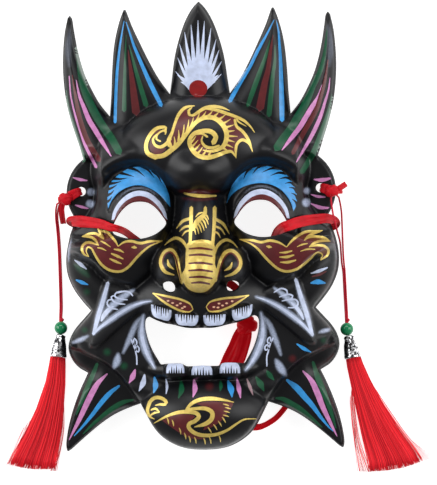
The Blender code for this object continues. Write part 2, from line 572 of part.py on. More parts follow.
def ball(name, centre, radii, finish, across=12, rows=8):
    """A stretched sphere, in the drawing's millimetres."""
    bm = bmesh.new()
    bmesh.ops.create_uvsphere(bm, u_segments=across, v_segments=rows, radius=1.0)
    bmesh.ops.transform(bm, matrix=Matrix.Diagonal((*drawn(radii), 1)), verts=bm.verts)
    mesh = bpy.data.meshes.new(name)
    bm.to_mesh(mesh)
    bm.free()
    mesh.shade_smooth()
    made = bpy.data.objects.new(name, mesh)
    made.location = drawn(centre)
    return place(made, finish)


def helper(obj):
    """Hides an object that a Boolean uses."""
    bpy.data.collections["joined"].objects.link(obj)
    obj.hide_render = True
    obj.display_type = "WIRE"
    return obj


def ear_tie(side, knot, loop, tail, finish):
    """A ribbon's knot on the ear's edge, its loop through the hole and its short end."""
    made = ball(f"ear_tie_{side}", knot, TIE_KNOT_RADII, finish)
    for part, points in (("loop", loop), ("tail", tail)):
        union = made.modifiers.new(part, "BOOLEAN")
        union.operation = "UNION"
        union.object = helper(band(f"tie_{part}_{side}", points, (TIE_WIDTH,), TIE_THICKNESS, TIE_STEP))
    return made


def turned(name, profile, start, end, finish, sides=12):
    """A profile of (radius, distance from the start) turned round the line from start to end, in metres."""
    along = Vector(end) - Vector(start)
    bm = bmesh.new()
    points = [bm.verts.new((r, 0, z)) for r, z in profile]
    for a, b in zip(points[:-1], points[1:]):
        bm.edges.new((a, b))
    bmesh.ops.spin(bm, geom=bm.verts[:] + bm.edges[:], cent=(0, 0, 0), axis=(0, 0, 1), angle=math.tau,
                   steps=sides, use_merge=True)
    bmesh.ops.remove_doubles(bm, verts=bm.verts, dist=1e-6)
    bmesh.ops.recalc_face_normals(bm, faces=bm.faces)
    mesh = bpy.data.meshes.new(name)
    bm.to_mesh(mesh)
    bm.free()
    mesh.shade_smooth()
    mesh.set_sharp_from_angle(angle=math.radians(40))
    made = bpy.data.objects.new(name, mesh)
    made.matrix_world = Matrix.Translation(start) @ along.to_track_quat("Z", "Y").to_matrix().to_4x4()
    return place(made, finish)


def tassel_cap(side, finish):
    """The cast cap over the tassel's head: narrow at the bead, belled at its mouth."""
    (ax, ay), (bx, by) = CAPS[side]
    toward = Vector((bx - ax, by - ay, 0)).normalized() * CAP_LENGTH
    start = Vector(drawn((ax, ay, 0))) + Vector((0, 0, BEAD_DIAMETER / 2 + GAP))
    end = start + toward
    end.z = CAP_MOUTH_RADIUS + GAP
    length = (end - start).length
    top, mouth = CAP_TOP_RADIUS, CAP_MOUTH_RADIUS
    shape = [(0, 0), (0.8 * top, 0), (top, 0.06), (0.96 * top, 0.14), (0.5 * (top + mouth), 0.4),
             (0.92 * mouth, 0.8), (mouth, 0.9), (mouth, 1), (0, 1)]
    profile = [(radius, share * length) for radius, share in shape]
    return turned(f"tassel_cap_{side}", profile, start, end, finish)


def tassel_skirt(side, finish):
    """The tassel's threads as one flat fan, which widens and thins towards the ends."""
    rows = SKIRTS[side]
    bm = bmesh.new()
    rings = []
    for i, (cx, cy, wide) in enumerate(rows):
        share = i / (len(rows) - 1)
        thick = SKIRT_THICKNESS + (SKIRT_EDGE_THICKNESS - SKIRT_THICKNESS) * share ** 0.6
        before, after = rows[max(i - 1, 0)], rows[min(i + 1, len(rows) - 1)]
        ahead = Vector((after[0] - before[0], after[1] - before[1])).normalized()
        ring = []
        for turn in np.arange(10) / 10 * math.tau:
            side_way = math.cos(turn) * wide / 2
            lift = thick / 2 * (1 + math.sin(turn)) + GAP
            ring.append(bm.verts.new((cx * MM - ahead.y * side_way * MM, cy * MM + ahead.x * side_way * MM, lift)))
        rings.append(ring)
    for a, b in zip(rings[:-1], rings[1:]):
        for i in range(10):
            bm.faces.new((a[i], a[(i + 1) % 10], b[(i + 1) % 10], b[i]))
    bm.faces.new(rings[0])
    bm.faces.new(rings[-1][::-1])
    bmesh.ops.recalc_face_normals(bm, faces=bm.faces)
    mesh = bpy.data.meshes.new(f"tassel_skirt_{side}")
    bm.to_mesh(mesh)
    bm.free()
    return place(bpy.data.objects.new(f"tassel_skirt_{side}", mesh), finish)


def main():
    for obj in list(bpy.data.objects):
        bpy.data.objects.remove(obj)
    for name in ("opera_mask", "joined"):
        bpy.context.scene.collection.children.link(bpy.data.collections.new(name))
    bpy.data.collections["joined"].hide_render = True
    black = material("black_plastic", (0.012, 0.012, 0.015), 0.32)
    satin = material("red_satin", (0.72, 0.015, 0.02), 0.4)
    thread = material("red_thread", (0.75, 0.02, 0.02), 0.55)
    green = material("green_bead", (0.01, 0.2, 0.07), 0.12)
    silver = material("silver_cap", (0.8, 0.8, 0.8), 0.25, 1.0)
    mask_shell(black)
    ear_tie("left", TIE_LEFT_KNOT, TIE_LEFT_LOOP, TIE_LEFT_TAIL, satin)
    ear_tie("right", TIE_RIGHT_KNOT, TIE_RIGHT_LOOP, TIE_RIGHT_TAIL, satin)
    for name, points in CORDS.items():
        cord(name, points, thread)
    for side, (x, y) in BEADS.items():
        radius = BEAD_DIAMETER / 2 / MM
        ball(f"bead_{side}", (x, y, radius + GAP / MM), (radius,) * 3, green)
        tassel_cap(side, silver)
        tassel_skirt(side, thread)
    ball("ribbon_knot", RIBBON_KNOT, RIBBON_KNOT_RADII, satin)
    for name, points in RIBBONS.items():
        place(band(name, points, RIBBON_WIDTHS[name], RIBBON_THICKNESS, RIBBON_STEP), satin)


main()
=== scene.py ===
"""The opera mask as the photo shows it: camera, cords, finish, fine relief, paint and light."""

import math
import random

import bpy
import numpy as np
from mathutils import Matrix, Vector, geometry, kdtree


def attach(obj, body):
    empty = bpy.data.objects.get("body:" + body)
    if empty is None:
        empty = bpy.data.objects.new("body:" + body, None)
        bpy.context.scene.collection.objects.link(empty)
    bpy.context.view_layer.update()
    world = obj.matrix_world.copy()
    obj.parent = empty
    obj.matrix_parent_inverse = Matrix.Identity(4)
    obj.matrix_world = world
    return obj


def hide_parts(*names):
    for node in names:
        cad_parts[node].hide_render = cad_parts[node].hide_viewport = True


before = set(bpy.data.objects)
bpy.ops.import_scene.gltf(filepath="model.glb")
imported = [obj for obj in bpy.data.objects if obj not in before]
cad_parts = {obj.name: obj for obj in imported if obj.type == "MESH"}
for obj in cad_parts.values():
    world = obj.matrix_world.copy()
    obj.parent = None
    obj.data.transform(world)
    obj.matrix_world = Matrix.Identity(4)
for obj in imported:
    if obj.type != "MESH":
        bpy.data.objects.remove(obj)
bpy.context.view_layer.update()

# Camera: almost straight above the mask, from far away with a long lens
AIM = (10.39, -11.04)
CAMERA_DISTANCE = 3000.0
CAMERA_YAW = math.radians(1.5)
CAMERA_ROLL = math.radians(0.9)
PIXEL = 0.64
PHOTO_WIDTH = 437
MIDDLE = (202.0, 225.5)

# Sizes of the form, in millimetres, as in the part
WALL = 1.4
NOSE_TIP = 76.0
SHIELD_EDGE = 22.0
SHIELD_CROWN = 20.0
EAR_RISE = 8.0
EAR_FLAT = 7.0
HOLE_RADIUS = 2.9
BEAD_RADIUS = 4.2
CAP_TOP, CAP_MOUTH, CAP_LENGTH = 3.2, 5.5, 14.4
CORD_RADIUS = 0.6
FLOOR_GAP = 0.3


# Right half of the outline, from the middle horn's tip down to the chin, one smooth stretch a row
OUTLINE = [
    [(0, 143.5), (3.4, 140), (6.4, 135.6), (10.2, 127.6), (15.4, 110.2), (18.1, 92), (19.2, 84.4)],
    [(19.2, 84.4), (26.3, 94.5), (32.3, 105.6), (37.7, 116.9), (42.9, 128.4), (46.2, 137.4), (47.4, 140.2)],
    [(47.4, 140.2), (48.8, 137.2), (51.6, 129.1), (54.4, 116.5), (56, 100), (56.8, 84), (57.9, 70.8)],
    [(57.9, 70.8), (64.1, 78.7), (69, 87.5), (73.2, 96.7), (76.2, 106.3), (78.4, 116.1), (80.2, 127),
     (81.3, 134), (82.6, 135.8), (84.1, 134)],
    [(84.1, 134), (86, 125), (87.2, 113), (87.5, 101), (86.8, 89), (85.1, 77.4), (82.2, 66), (78.6, 54.8),
     (75, 43.6)],
    [(75, 43.6), (79.8, 39), (83.2, 33.8), (85.2, 28.4), (86, 22.6), (85.6, 16.9), (83.8, 11.3),
     (80.6, 5.2)],
    [(80.6, 5.2), (82.4, 0), (85, -7), (86.8, -15), (87.4, -22.5), (86.4, -30.5), (82.8, -39.3),
     (77.6, -46.8), (72, -53.4)],
    [(72, -53.4), (76.7, -58.6), (81.5, -64), (85.3, -70.3), (86.8, -77), (84.9, -83.7), (80.6, -89.4),
     (74.5, -93.2)],
    [(74.5, -93.2), (79, -102.7), (82.9, -112.4), (86.1, -122.5), (88.3, -132.7), (89, -140), (88, -143.3),
     (85.8, -142)],
    [(85.8, -142), (80.4, -137.2), (73.4, -131.2), (66, -125.3), (58.2, -120.2), (49.7, -116.3),
     (40.9, -113.2)],
    [(40.9, -113.2), (37.4, -120.1), (33.7, -127.1), (28.9, -133.3), (22.7, -138), (15.5, -141.4),
     (7.9, -143), (0, -143.4)],
]
EYE = [(21.6, 1.6), (24.2, 6.6), (28.2, 11.6), (32.6, 14.6), (38, 15.5), (43.4, 14.6), (48.6, 10.8),
       (52.8, 5.2), (55, 0.4), (55.4, -3.8), (51, -6.2), (45, -7.6), (38.4, -7.9), (32, -6.6), (26.4, -3.8)]
MOUTH = [(0, -64.9), (8.5, -64.6), (16, -63), (22.5, -61.6), (28.5, -59.4), (33.2, -57.4), (35.4, -58.8),
         (36, -63.4), (34.8, -70.2), (32.2, -77.6), (28.6, -84.2), (26.2, -87.6), (23.4, -87.2), (13, -87.2),
         (10.2, -88.8), (7, -88.9), (0, -88.4)]
NOSTRIL = [(16.4, -37.6), (18, -35.4), (21.4, -35.2), (23.8, -36.6), (23.4, -39.6), (19.8, -41.6),
           (16.8, -41)]
EAR_HOLE = (76.2, 22.8)


def smooth(points, step, closed=False):
    """Points about a step apart on a smooth curve through a few given ones."""
    p = np.array(points, float)
    if closed:
        p = np.concatenate([p[-1:], p, p[:2]])
    else:
        p = np.concatenate([2 * p[:1] - p[1:2], p, 2 * p[-1:] - p[-2:-1]])
    out = []
    for a, b, c, d in zip(p[:-3], p[1:-2], p[2:-1], p[3:]):
        n = max(1, round(float(np.linalg.norm(c - b)) / step))
        ta = max(1e-6, math.sqrt(np.linalg.norm(b - a)))
        tb = max(1e-6, math.sqrt(np.linalg.norm(c - b)))
        tc = max(1e-6, math.sqrt(np.linalg.norm(d - c)))
        m1 = (b - a) / ta - (c - a) / (ta + tb) + (c - b) / tb
        m2 = (c - b) / tb - (d - b) / (tb + tc) + (d - c) / tc
        t = np.arange(n)[:, None] / n
        out.append((2 * t**3 - 3 * t**2 + 1) * b + (t**3 - 2 * t**2 + t) * m1 * tb
                   + (3 * t**2 - 2 * t**3) * c + (t**3 - t**2) * m2 * tb)
    if not closed:
        out.append(p[-2:-1])
    return np.concatenate(out)


def mirrored(line):
    return line * np.array([-1.0, 1.0])


def whole_outline(step):
    half = np.concatenate([smooth(s, step)[:-1] for s in OUTLINE] + [np.array([OUTLINE[-1][-1]], float)])
    return np.concatenate([half, mirrored(half)[-2:0:-1]])


def distance(line, x, y, closed=False):
    """The distance from each point to a line of short straight runs."""
    line = np.asarray(line, float)
    a, b = (line, np.roll(line, -1, 0)) if closed else (line[:-1], line[1:])
    best = np.full(np.shape(x), np.inf)
    for (ax, ay), (bx, by) in zip(a, b):
        dx, dy = bx - ax, by - ay
        t = np.clip(((x - ax) * dx + (y - ay) * dy) / max(dx * dx + dy * dy, 1e-12), 0, 1)
        best = np.minimum(best, (x - ax - t * dx) ** 2 + (y - ay - t * dy) ** 2)
    return np.sqrt(best)


def inside(line, x, y):
    line = np.asarray(line, float)
    hit = np.zeros(np.shape(x), bool)
    for (ax, ay), (bx, by) in zip(line, np.roll(line, -1, 0)):
        if ay != by:
            hit ^= ((ay > y) != (by > y)) & (x < (bx - ax) * (y - ay) / (by - ay) + ax)
    return hit


def depth(line, x, y):
    """How deep each point is inside a closed line, and less than 0 outside it."""
    d = distance(line, x, y, True)
    return np.where(inside(line, x, y), d, -d)


def ease(t):
    t = np.clip(t, 0, 1)
    return t * t * (3 - 2 * t)


def blend_max(a, b, k):
    """The higher of two surfaces, with a fillet about k high where they meet."""
    h = np.clip(0.5 + 0.5 * (a - b) / k, 0, 1)
    return b + (a - b) * h + k * h * (1 - h)


def cap(x, y, cx, cy, rx, ry, low, high, power=0.5, turn=0.0):
    """A dome on an ellipse, which falls away steeply outside it."""
    c, s = math.cos(turn), math.sin(turn)
    u, v = (x - cx) * c + (y - cy) * s, (y - cy) * c - (x - cx) * s
    r = (u / rx) ** 2 + (v / ry) ** 2
    return np.where(r < 1, low + (high - low) * np.maximum(1 - r, 0) ** power, low - 30 * (np.sqrt(r) - 1))


EDGE = whole_outline(2.5)
# Creases, right half
FACE_LINE = [(0, 81.3), (9.2, 80.9), (18.2, 79.5), (26.9, 76.7), (35.1, 72.7), (42.5, 67.4), (48.6, 60.6),
             (52.6, 53), (60, 44), (67.6, 34), (67.6, 25.9), (68.4, 17), (71, 9.6), (75.4, 4), (80.4, 0),
             (86, -3)]
JAW = [(88.4, -76), (80, -79), (72.6, -82.3), (65.6, -85.8), (59.6, -89.8), (54, -95), (49.1, -101.2),
       (44.6, -107.6), (40, -114.6)]
CHEEK_LOW = [(90, -14.4), (82.6, -17.2), (76.1, -20.6), (71.6, -23), (68.3, -25.9), (65, -30), (60.4, -34),
             (53.7, -37), (44.8, -39.2), (38, -38.6), (32, -34)]
PLATE = [(43, -38.6), (60.4, -33.6), (64.4, -42), (67.4, -52), (70, -62), (72.2, -72), (71.4, -76.6),
         (67.6, -76.8), (63.5, -74.7), (56.2, -68.3), (48.9, -62), (41.3, -55.6), (35.6, -50.6), (37, -43)]
SOCKET = [(58, 34.6), (54, 37.4), (49.6, 38.9), (44.6, 40), (39.4, 40.3), (34.4, 39.6), (29.6, 37.6),
          (25.2, 34.4), (21.4, 30), (18.9, 24.6), (17.7, 18.6), (17.5, 12.4), (18, 5)]
SOCKET_FLOOR = [(20, -3), (27, -10.4), (36, -13.4), (46, -13), (55, -9.4), (61.4, -1.6), (64, 8), (64, 18),
                (62, 28)]
BROW_ROLL = [(62, 36), (55, 41.6), (46, 45), (36.2, 45.6), (27.8, 43.6), (20.5, 39)]
LID = [(57.4, 10), (55.2, 15), (52, 19), (48, 21.8), (43, 23.6), (38.6, 24), (33.6, 23), (28.6, 20),
       (24.6, 15.6), (21.6, 10)]
GUM = [(0, -98), (14, -97.6), (28.6, -96.6), (38, -92)]
UPPER_TEETH = [(8.9, -60.4, 7.9, 6.4, 48.5), (25.6, -56.4, 7.2, 6.8, 46.5)]
LOWER_TEETH = [(0.0, -92.2, 7.2, 5.6, 46.5), (17.5, -91.8, 7.0, 5.6, 45.0)]


def edge_rise(d, wall, draft, crown, reach):
    """The height over the rim at a distance d inside the outline: a steep wall and a rounded shoulder."""
    t = np.clip(d / reach, 0, 1)
    return wall * np.clip(d / draft, 0, 1) + crown * np.sqrt(1 - (1 - t) ** 2)


def rim(x, y):
    """How high the mask's edge is over what it lies on."""
    ax = np.abs(x)
    ear = EAR_RISE * ease((ax - 60) / 12) * ease((y + 9) / 6) * ease((52 - y) / 8)
    chin = 3.0 * ease((-97 - y) / 8)
    return ear + chin


def ring_of(half):
    """A closed line from its right half, which starts and ends on the middle line."""
    half = np.asarray(half, float)
    return np.concatenate([half, mirrored(half)[::-1]])


FACE = ring_of(np.concatenate([smooth(FACE_LINE, 3), [(100, -6), (100, -75)], smooth(JAW, 3), [(37, -150)]]))
PLATE_LINE = smooth(PLATE, 3, True)
SOCKET_RING = smooth(SOCKET + SOCKET_FLOOR, 3, True)
CHEEK_TOP = [(22, -20), (22, 10), (46, 4), (55, -3), (66, -7), (76, -9), (92, -11)]
CHEEK_AREA = np.concatenate([smooth(CHEEK_LOW, 3), CHEEK_TOP])
BROW_LINE, LID_LINE, GUM_LINE = smooth(BROW_ROLL, 3), smooth(LID, 3), smooth(GUM, 4)


def groove(line, x, y, deep, wide):
    """A channel along a line of the right half."""
    return deep * np.maximum(0, 1 - distance(line, x, y) / wide) ** 1.5


def tooth(x, y, cx, cy, rx, ry, low, top):
    """A pillow with a rounded square outline."""
    r = np.abs((x - cx) / rx) ** 3 + np.abs((y - cy) / ry) ** 3
    return np.where(r < 1, low + (top - low) * np.maximum(1 - r, 0) ** 0.4, -99)


def height(x, y):
    """The height of the mask's front over what it lies on."""
    x, y = np.abs(np.asarray(x, float)), np.asarray(y, float)
    d = np.maximum(depth(EDGE, x, y), 0)
    r = rim(x, y)
    # Horns and spikes, round in section, and the flat ears
    horn = 17 + 4 * ease((140 - y) / 60) + 9 * ease((72 - y) / 34) * ease((x - 44) / 14)
    spike = 15 + 5 * ease((y + 142) / 45)
    level = np.where(y > 20, horn, spike)
    low = np.minimum(level, r + edge_rise(d, 7.0, 1.1, 13.0, 13.0))
    ear = ease((46 - y) / 5) * ease((y + 30) / 12) * ease((x - 60) / 6)
    low = low + ((r + EAR_FLAT * edge_rise(d, 0.64, 1.0, 0.36, 3.0)) - low) * ear
    # The face's shield
    across = (x / 90) ** 2 + ((y + 25) / 108) ** 2
    shield = SHIELD_EDGE + SHIELD_CROWN * np.sqrt(np.maximum(0, 1 - across)) - 13 * ease((y - 32) / 26)
    shield = shield - 8 * ease((x - 54) / 18) * ease((y + 13) / 9) * ease((40 - y) / 16)
    shield = np.minimum(shield, r + edge_rise(d, 13.0, 2.6, 18.0, 19.0))
    f = depth(FACE, x, y)
    h = low + (np.maximum(shield, low + 1.5) - low) * ease((f + 0.4) / 3.0)
    # The forehead, with a ball over the nose
    brow = cap(x, y, 0, 50, 51.4, 31.8, 20, 52, 0.42)
    ball = cap(x, y, 0, 35.5, 23, 18, 34, 58, 0.6)
    h = np.maximum(h, blend_max(brow, ball, 6))
    # Each eye: a roll over a socket, and in the socket a dome for the eyeball with its lid
    roll = 44 - 0.16 * distance(BROW_LINE, x, y) ** 1.7
    roll = roll - 6 * ease((x - 44) / 20) - 2.4 * np.maximum(0, x - 62)
    h = blend_max(h, roll, 3)
    socket = depth(SOCKET_RING, x, y)
    h = h + (np.minimum(h, 30) - h) * ease(socket / 6)
    eye = cap(x, y, 39, 8, 27, 36, 23, 42.5, 0.5)
    h = np.where(socket > -1, blend_max(h, eye, 1.5), h)
    h = h - groove(SOCKET_RING[:44], x, y, 2.6, 3.6) - groove(LID_LINE, x, y, 1.5, 2.0)
    # Cheeks, which hang over the crease below them
    over = depth(CHEEK_AREA, x, y)
    cheek = cap(x, y, 55, -11, 36, 31, 26, 46, 0.5)
    cheek = np.minimum(cheek, r + edge_rise(d, 13.0, 2.6, 34.0, 22.0))
    h = np.where(over > 0, h + (np.maximum(blend_max(h, cheek, 3), h) - h) * ease(over / 4), h)
    h = np.where((over <= 0) & (y < -8), h - 1.6 * np.maximum(0, 1 + over / 5), h)
    # Tusk plates
    h = h + 4.0 * ease((depth(PLATE_LINE, x, y) + 0.4) / 2.2)
    # Upper lip, lower lip and chin
    h = blend_max(h, cap(x, y, 0, -46, 44, 24, 26, 46, 0.5), 2.5)
    chin = cap(x, y, 0, -119.5, 42, 25.5, 22, 50, 0.5)
    lower = cap(x, y, 0, -91, 38, 11, 24, 40, 0.5)
    h = blend_max(h, blend_max(chin, lower, 1), 2) - groove(GUM_LINE, x, y, 1.6, 3.4)
    # Nose
    bridge = cap(x, y, 0, -8, 14.5, 33, 38, 60, 0.5)
    tip = cap(x, y, 0, -27, 14.6, 17.4, 44, NOSE_TIP, 0.5)
    wing = cap(x, y, 18.6, -26, 12, 13.6, 38, 61, 0.5)
    h = blend_max(h, blend_max(blend_max(bridge, tip, 6), wing, 2), 3)
    for cx, cy, rx, ry, top in UPPER_TEETH:
        h = np.maximum(h, tooth(x, y, cx, cy, rx, ry, 38, top))
    for cx, cy, rx, ry, top in LOWER_TEETH:
        h = np.maximum(h, tooth(x, y, cx, cy, rx, ry, 36, top))
    return np.minimum(h, r + edge_rise(d, 15.0, 2.6, 72.0, 40.0))
# Routes of the cords and ribbons, as in the part: (X, Y, Z) in millimetres
TIE_KNOT_RADII = (4.9, 4.4, 3.6)
TIE_LEFT_KNOT = (-86.2, 18.2, 19.2)
TIE_LEFT_LOOP = [(-83.4, 19.8, 18.6), (-79.6, 21.8, 18.4), (-76.9, 22.7, 17.2), (-76.2, 22.8, 14.4),
                 (-76.8, 22.6, 11), (-79.8, 21.4, 7.4), (-84, 19.8, 5.4), (-87.6, 18.8, 5.2),
                 (-90, 18.2, 8.4), (-90.6, 18, 13), (-89, 18, 18)]
TIE_LEFT_TAIL = [(-87.6, 16.4, 18.6), (-88.8, 12, 16.6), (-88.8, 7, 12.2), (-88.4, 2.6, 7.4)]
TIE_RIGHT_KNOT = (83.4, 20.6, 19.2)
TIE_RIGHT_LOOP = [(81, 21.4, 18.6), (78.2, 22.4, 18.2), (76.3, 22.8, 15.4), (76.6, 22.6, 11), (80, 21.6, 7),
                  (84.4, 20.8, 5.2), (88, 20.6, 6.2), (89.9, 20.6, 10.4), (89.6, 20.6, 15),
                  (86.4, 20.6, 18.6)]
TIE_RIGHT_TAIL = [(86.6, 21.6, 19), (89.4, 23, 18.4), (92.6, 25, 16.6)]
CORDS = {
    "tassel_cord_left_a": [(-90.2, 14.2, 15.2), (-91.4, 10.4, 10.6), (-91.9, 5.6, 5), (-91.6, 0.4, 1.9),
                           (-91.2, -6, 0.95), (-90.8, -14, 0.95), (-90.5, -26, 0.95), (-90.3, -40, 0.95),
                           (-90.2, -50, 1), (-90.4, -55.6, 2), (-90.6, -59.5, 3.8)],
    "tassel_cord_left_b": [(-92, 15, 16), (-93.1, 10.8, 11.2), (-93.5, 5.8, 5.4), (-93.2, 0.4, 2.1),
                           (-92.8, -6, 0.95), (-92.4, -14, 0.95), (-92.1, -26, 0.95), (-91.9, -40, 0.95),
                           (-91.8, -50, 1), (-92, -55.6, 2), (-92, -59.5, 3.8)],
    "tassel_cord_right_a": [(88, 16.6, 14.6), (88.9, 12.4, 10.4), (89.6, 7, 5), (89.8, 1.4, 1.9),
                            (90, -6, 0.95), (90.4, -21.4, 0.95), (91.2, -31.2, 0.95), (91.7, -44.3, 0.95),
                            (92.1, -54, 1), (92.3, -59, 2), (92.3, -63, 3.8)],
    "tassel_cord_right_b": [(82.6, 14.6, 19.2), (83.4, 8, 22.6), (84.6, 1.6, 24.8), (86.2, -5, 20),
                            (87.9, -12, 12), (88.4, -19, 4.6), (88.8, -25.4, 1.6), (89.6, -31.2, 0.95),
                            (90.1, -44.3, 0.95), (90.5, -54, 1), (90.7, -59, 2), (90.8, -63, 3.8)],
}
BEADS = {"left": (-91.2, -64.1), "right": (91.6, -67.6)}
CAPS = {"left": ((-91.4, -68.4), (-93.2, -82.4)), "right": ((92.6, -71.9), (95.1, -86.1))}
SKIRTS = {
    "left": [(-93.3, -83.2, 9.8), (-95.1, -99, 12.6), (-99.2, -117.7, 17.5), (-103.8, -132.9, 23),
             (-109.6, -147.4, 28.6), (-111.7, -154.2, 31.4)],
    "right": [(95.4, -87.3, 9.8), (99.9, -102.1, 13.2), (105.2, -117.3, 18), (111.4, -132.6, 24.5),
              (118.4, -147.6, 31.8), (121, -153.4, 35), (121.8, -157.6, 37)],
}
RIBBON_KNOT = (27.5, -64, 5.2)
RIBBON_KNOT_RADII = (7.4, 6.6, 4.8)
RIBBON_WIDTHS = {
    "ribbon_left": (5.0, 5.0, 5.0, 5.0, 5.2, 7.4, 4.6, 4.6, 5.0, 5.0, 5.0),
    "ribbon_right": (5.0, 5.0, 5.0, 5.6, 7.0, 6.0, 5.0, 5.0),
    "ribbon_tail_left": (8.0, 8.0, 3.6, 3.6),
    "ribbon_tail_right": (8.0, 8.4, 8.0),
}
RIBBONS = {
    "ribbon_left": [(19.4, -60.6, 4.4), (8, -57, 1.6), (-10, -52, 0.9), (-34, -42, 0.9), (-56, -25, 0.9),
                    (-70, -10.5, 0.9), (-77.6, -0.6, 1.6), (-81.8, 2.8, 4.2), (-83.2, 3.7, 9),
                    (-83.1, 4, 14.6), (-80.8, 4, 18.8), (-77.4, 3.8, 24), (-72, 3.2, 27.6), (-66, 2.4, 33),
                    (-61, 1.3, 37.8), (-57, -0.3, 41.2), (-53, -1.1, 41.6), (-50, -2.2, 37), (-47, -4, 29),
                    (-43, -7.4, 20), (-34, -14, 9), (-22, -20.4, 4.4), (-6, -27, 3), (8, -33.4, 3),
                    (19.4, -38.8, 4), (24.6, -46.4, 4.6), (26.8, -55.6, 5.4)],
    "ribbon_right": [(31.4, -56.2, 4.6), (40, -44, 2), (54, -27, 0.9), (68, -13, 0.9), (77.6, -4.6, 1.4),
                     (83.6, -1.8, 3.4), (85.6, -0.6, 7), (85.4, 1, 12.4), (83.2, 2.6, 17.4),
                     (78.6, 3.2, 23.6), (72, 2.6, 28), (66, 1.8, 32.6), (61, 0.7, 37.6), (57, -0.7, 41.2),
                     (53.6, -1.6, 41.8), (51, -3, 37), (48.6, -5.4, 29), (46.4, -10, 20), (43, -19, 10),
                     (40, -32, 6), (37, -46, 6), (35.4, -57, 6.2)],
    "ribbon_tail_left": [(22.6, -71.4, 2.4), (19.6, -78, 1.2), (14.8, -87.6, 0.9), (10.6, -100, 0.9),
                         (12.4, -114, 0.9), (21, -125, 0.9), (32.6, -129.6, 0.9), (43.4, -125.3, 0.9),
                         (51, -117.6, 0.9), (57, -108, 0.9), (62, -96, 0.9)],
    "ribbon_tail_right": [(26.6, -72.2, 4.6), (25, -78, 3.2), (21.6, -87, 2.6), (14, -97, 2.9),
                          (2, -104, 1.9), (-10, -110, 0.9), (-14, -119, 0.9), (-8, -127.6, 0.9),
                          (0, -126, 0.9), (-1.6, -118, 0.9)],
}


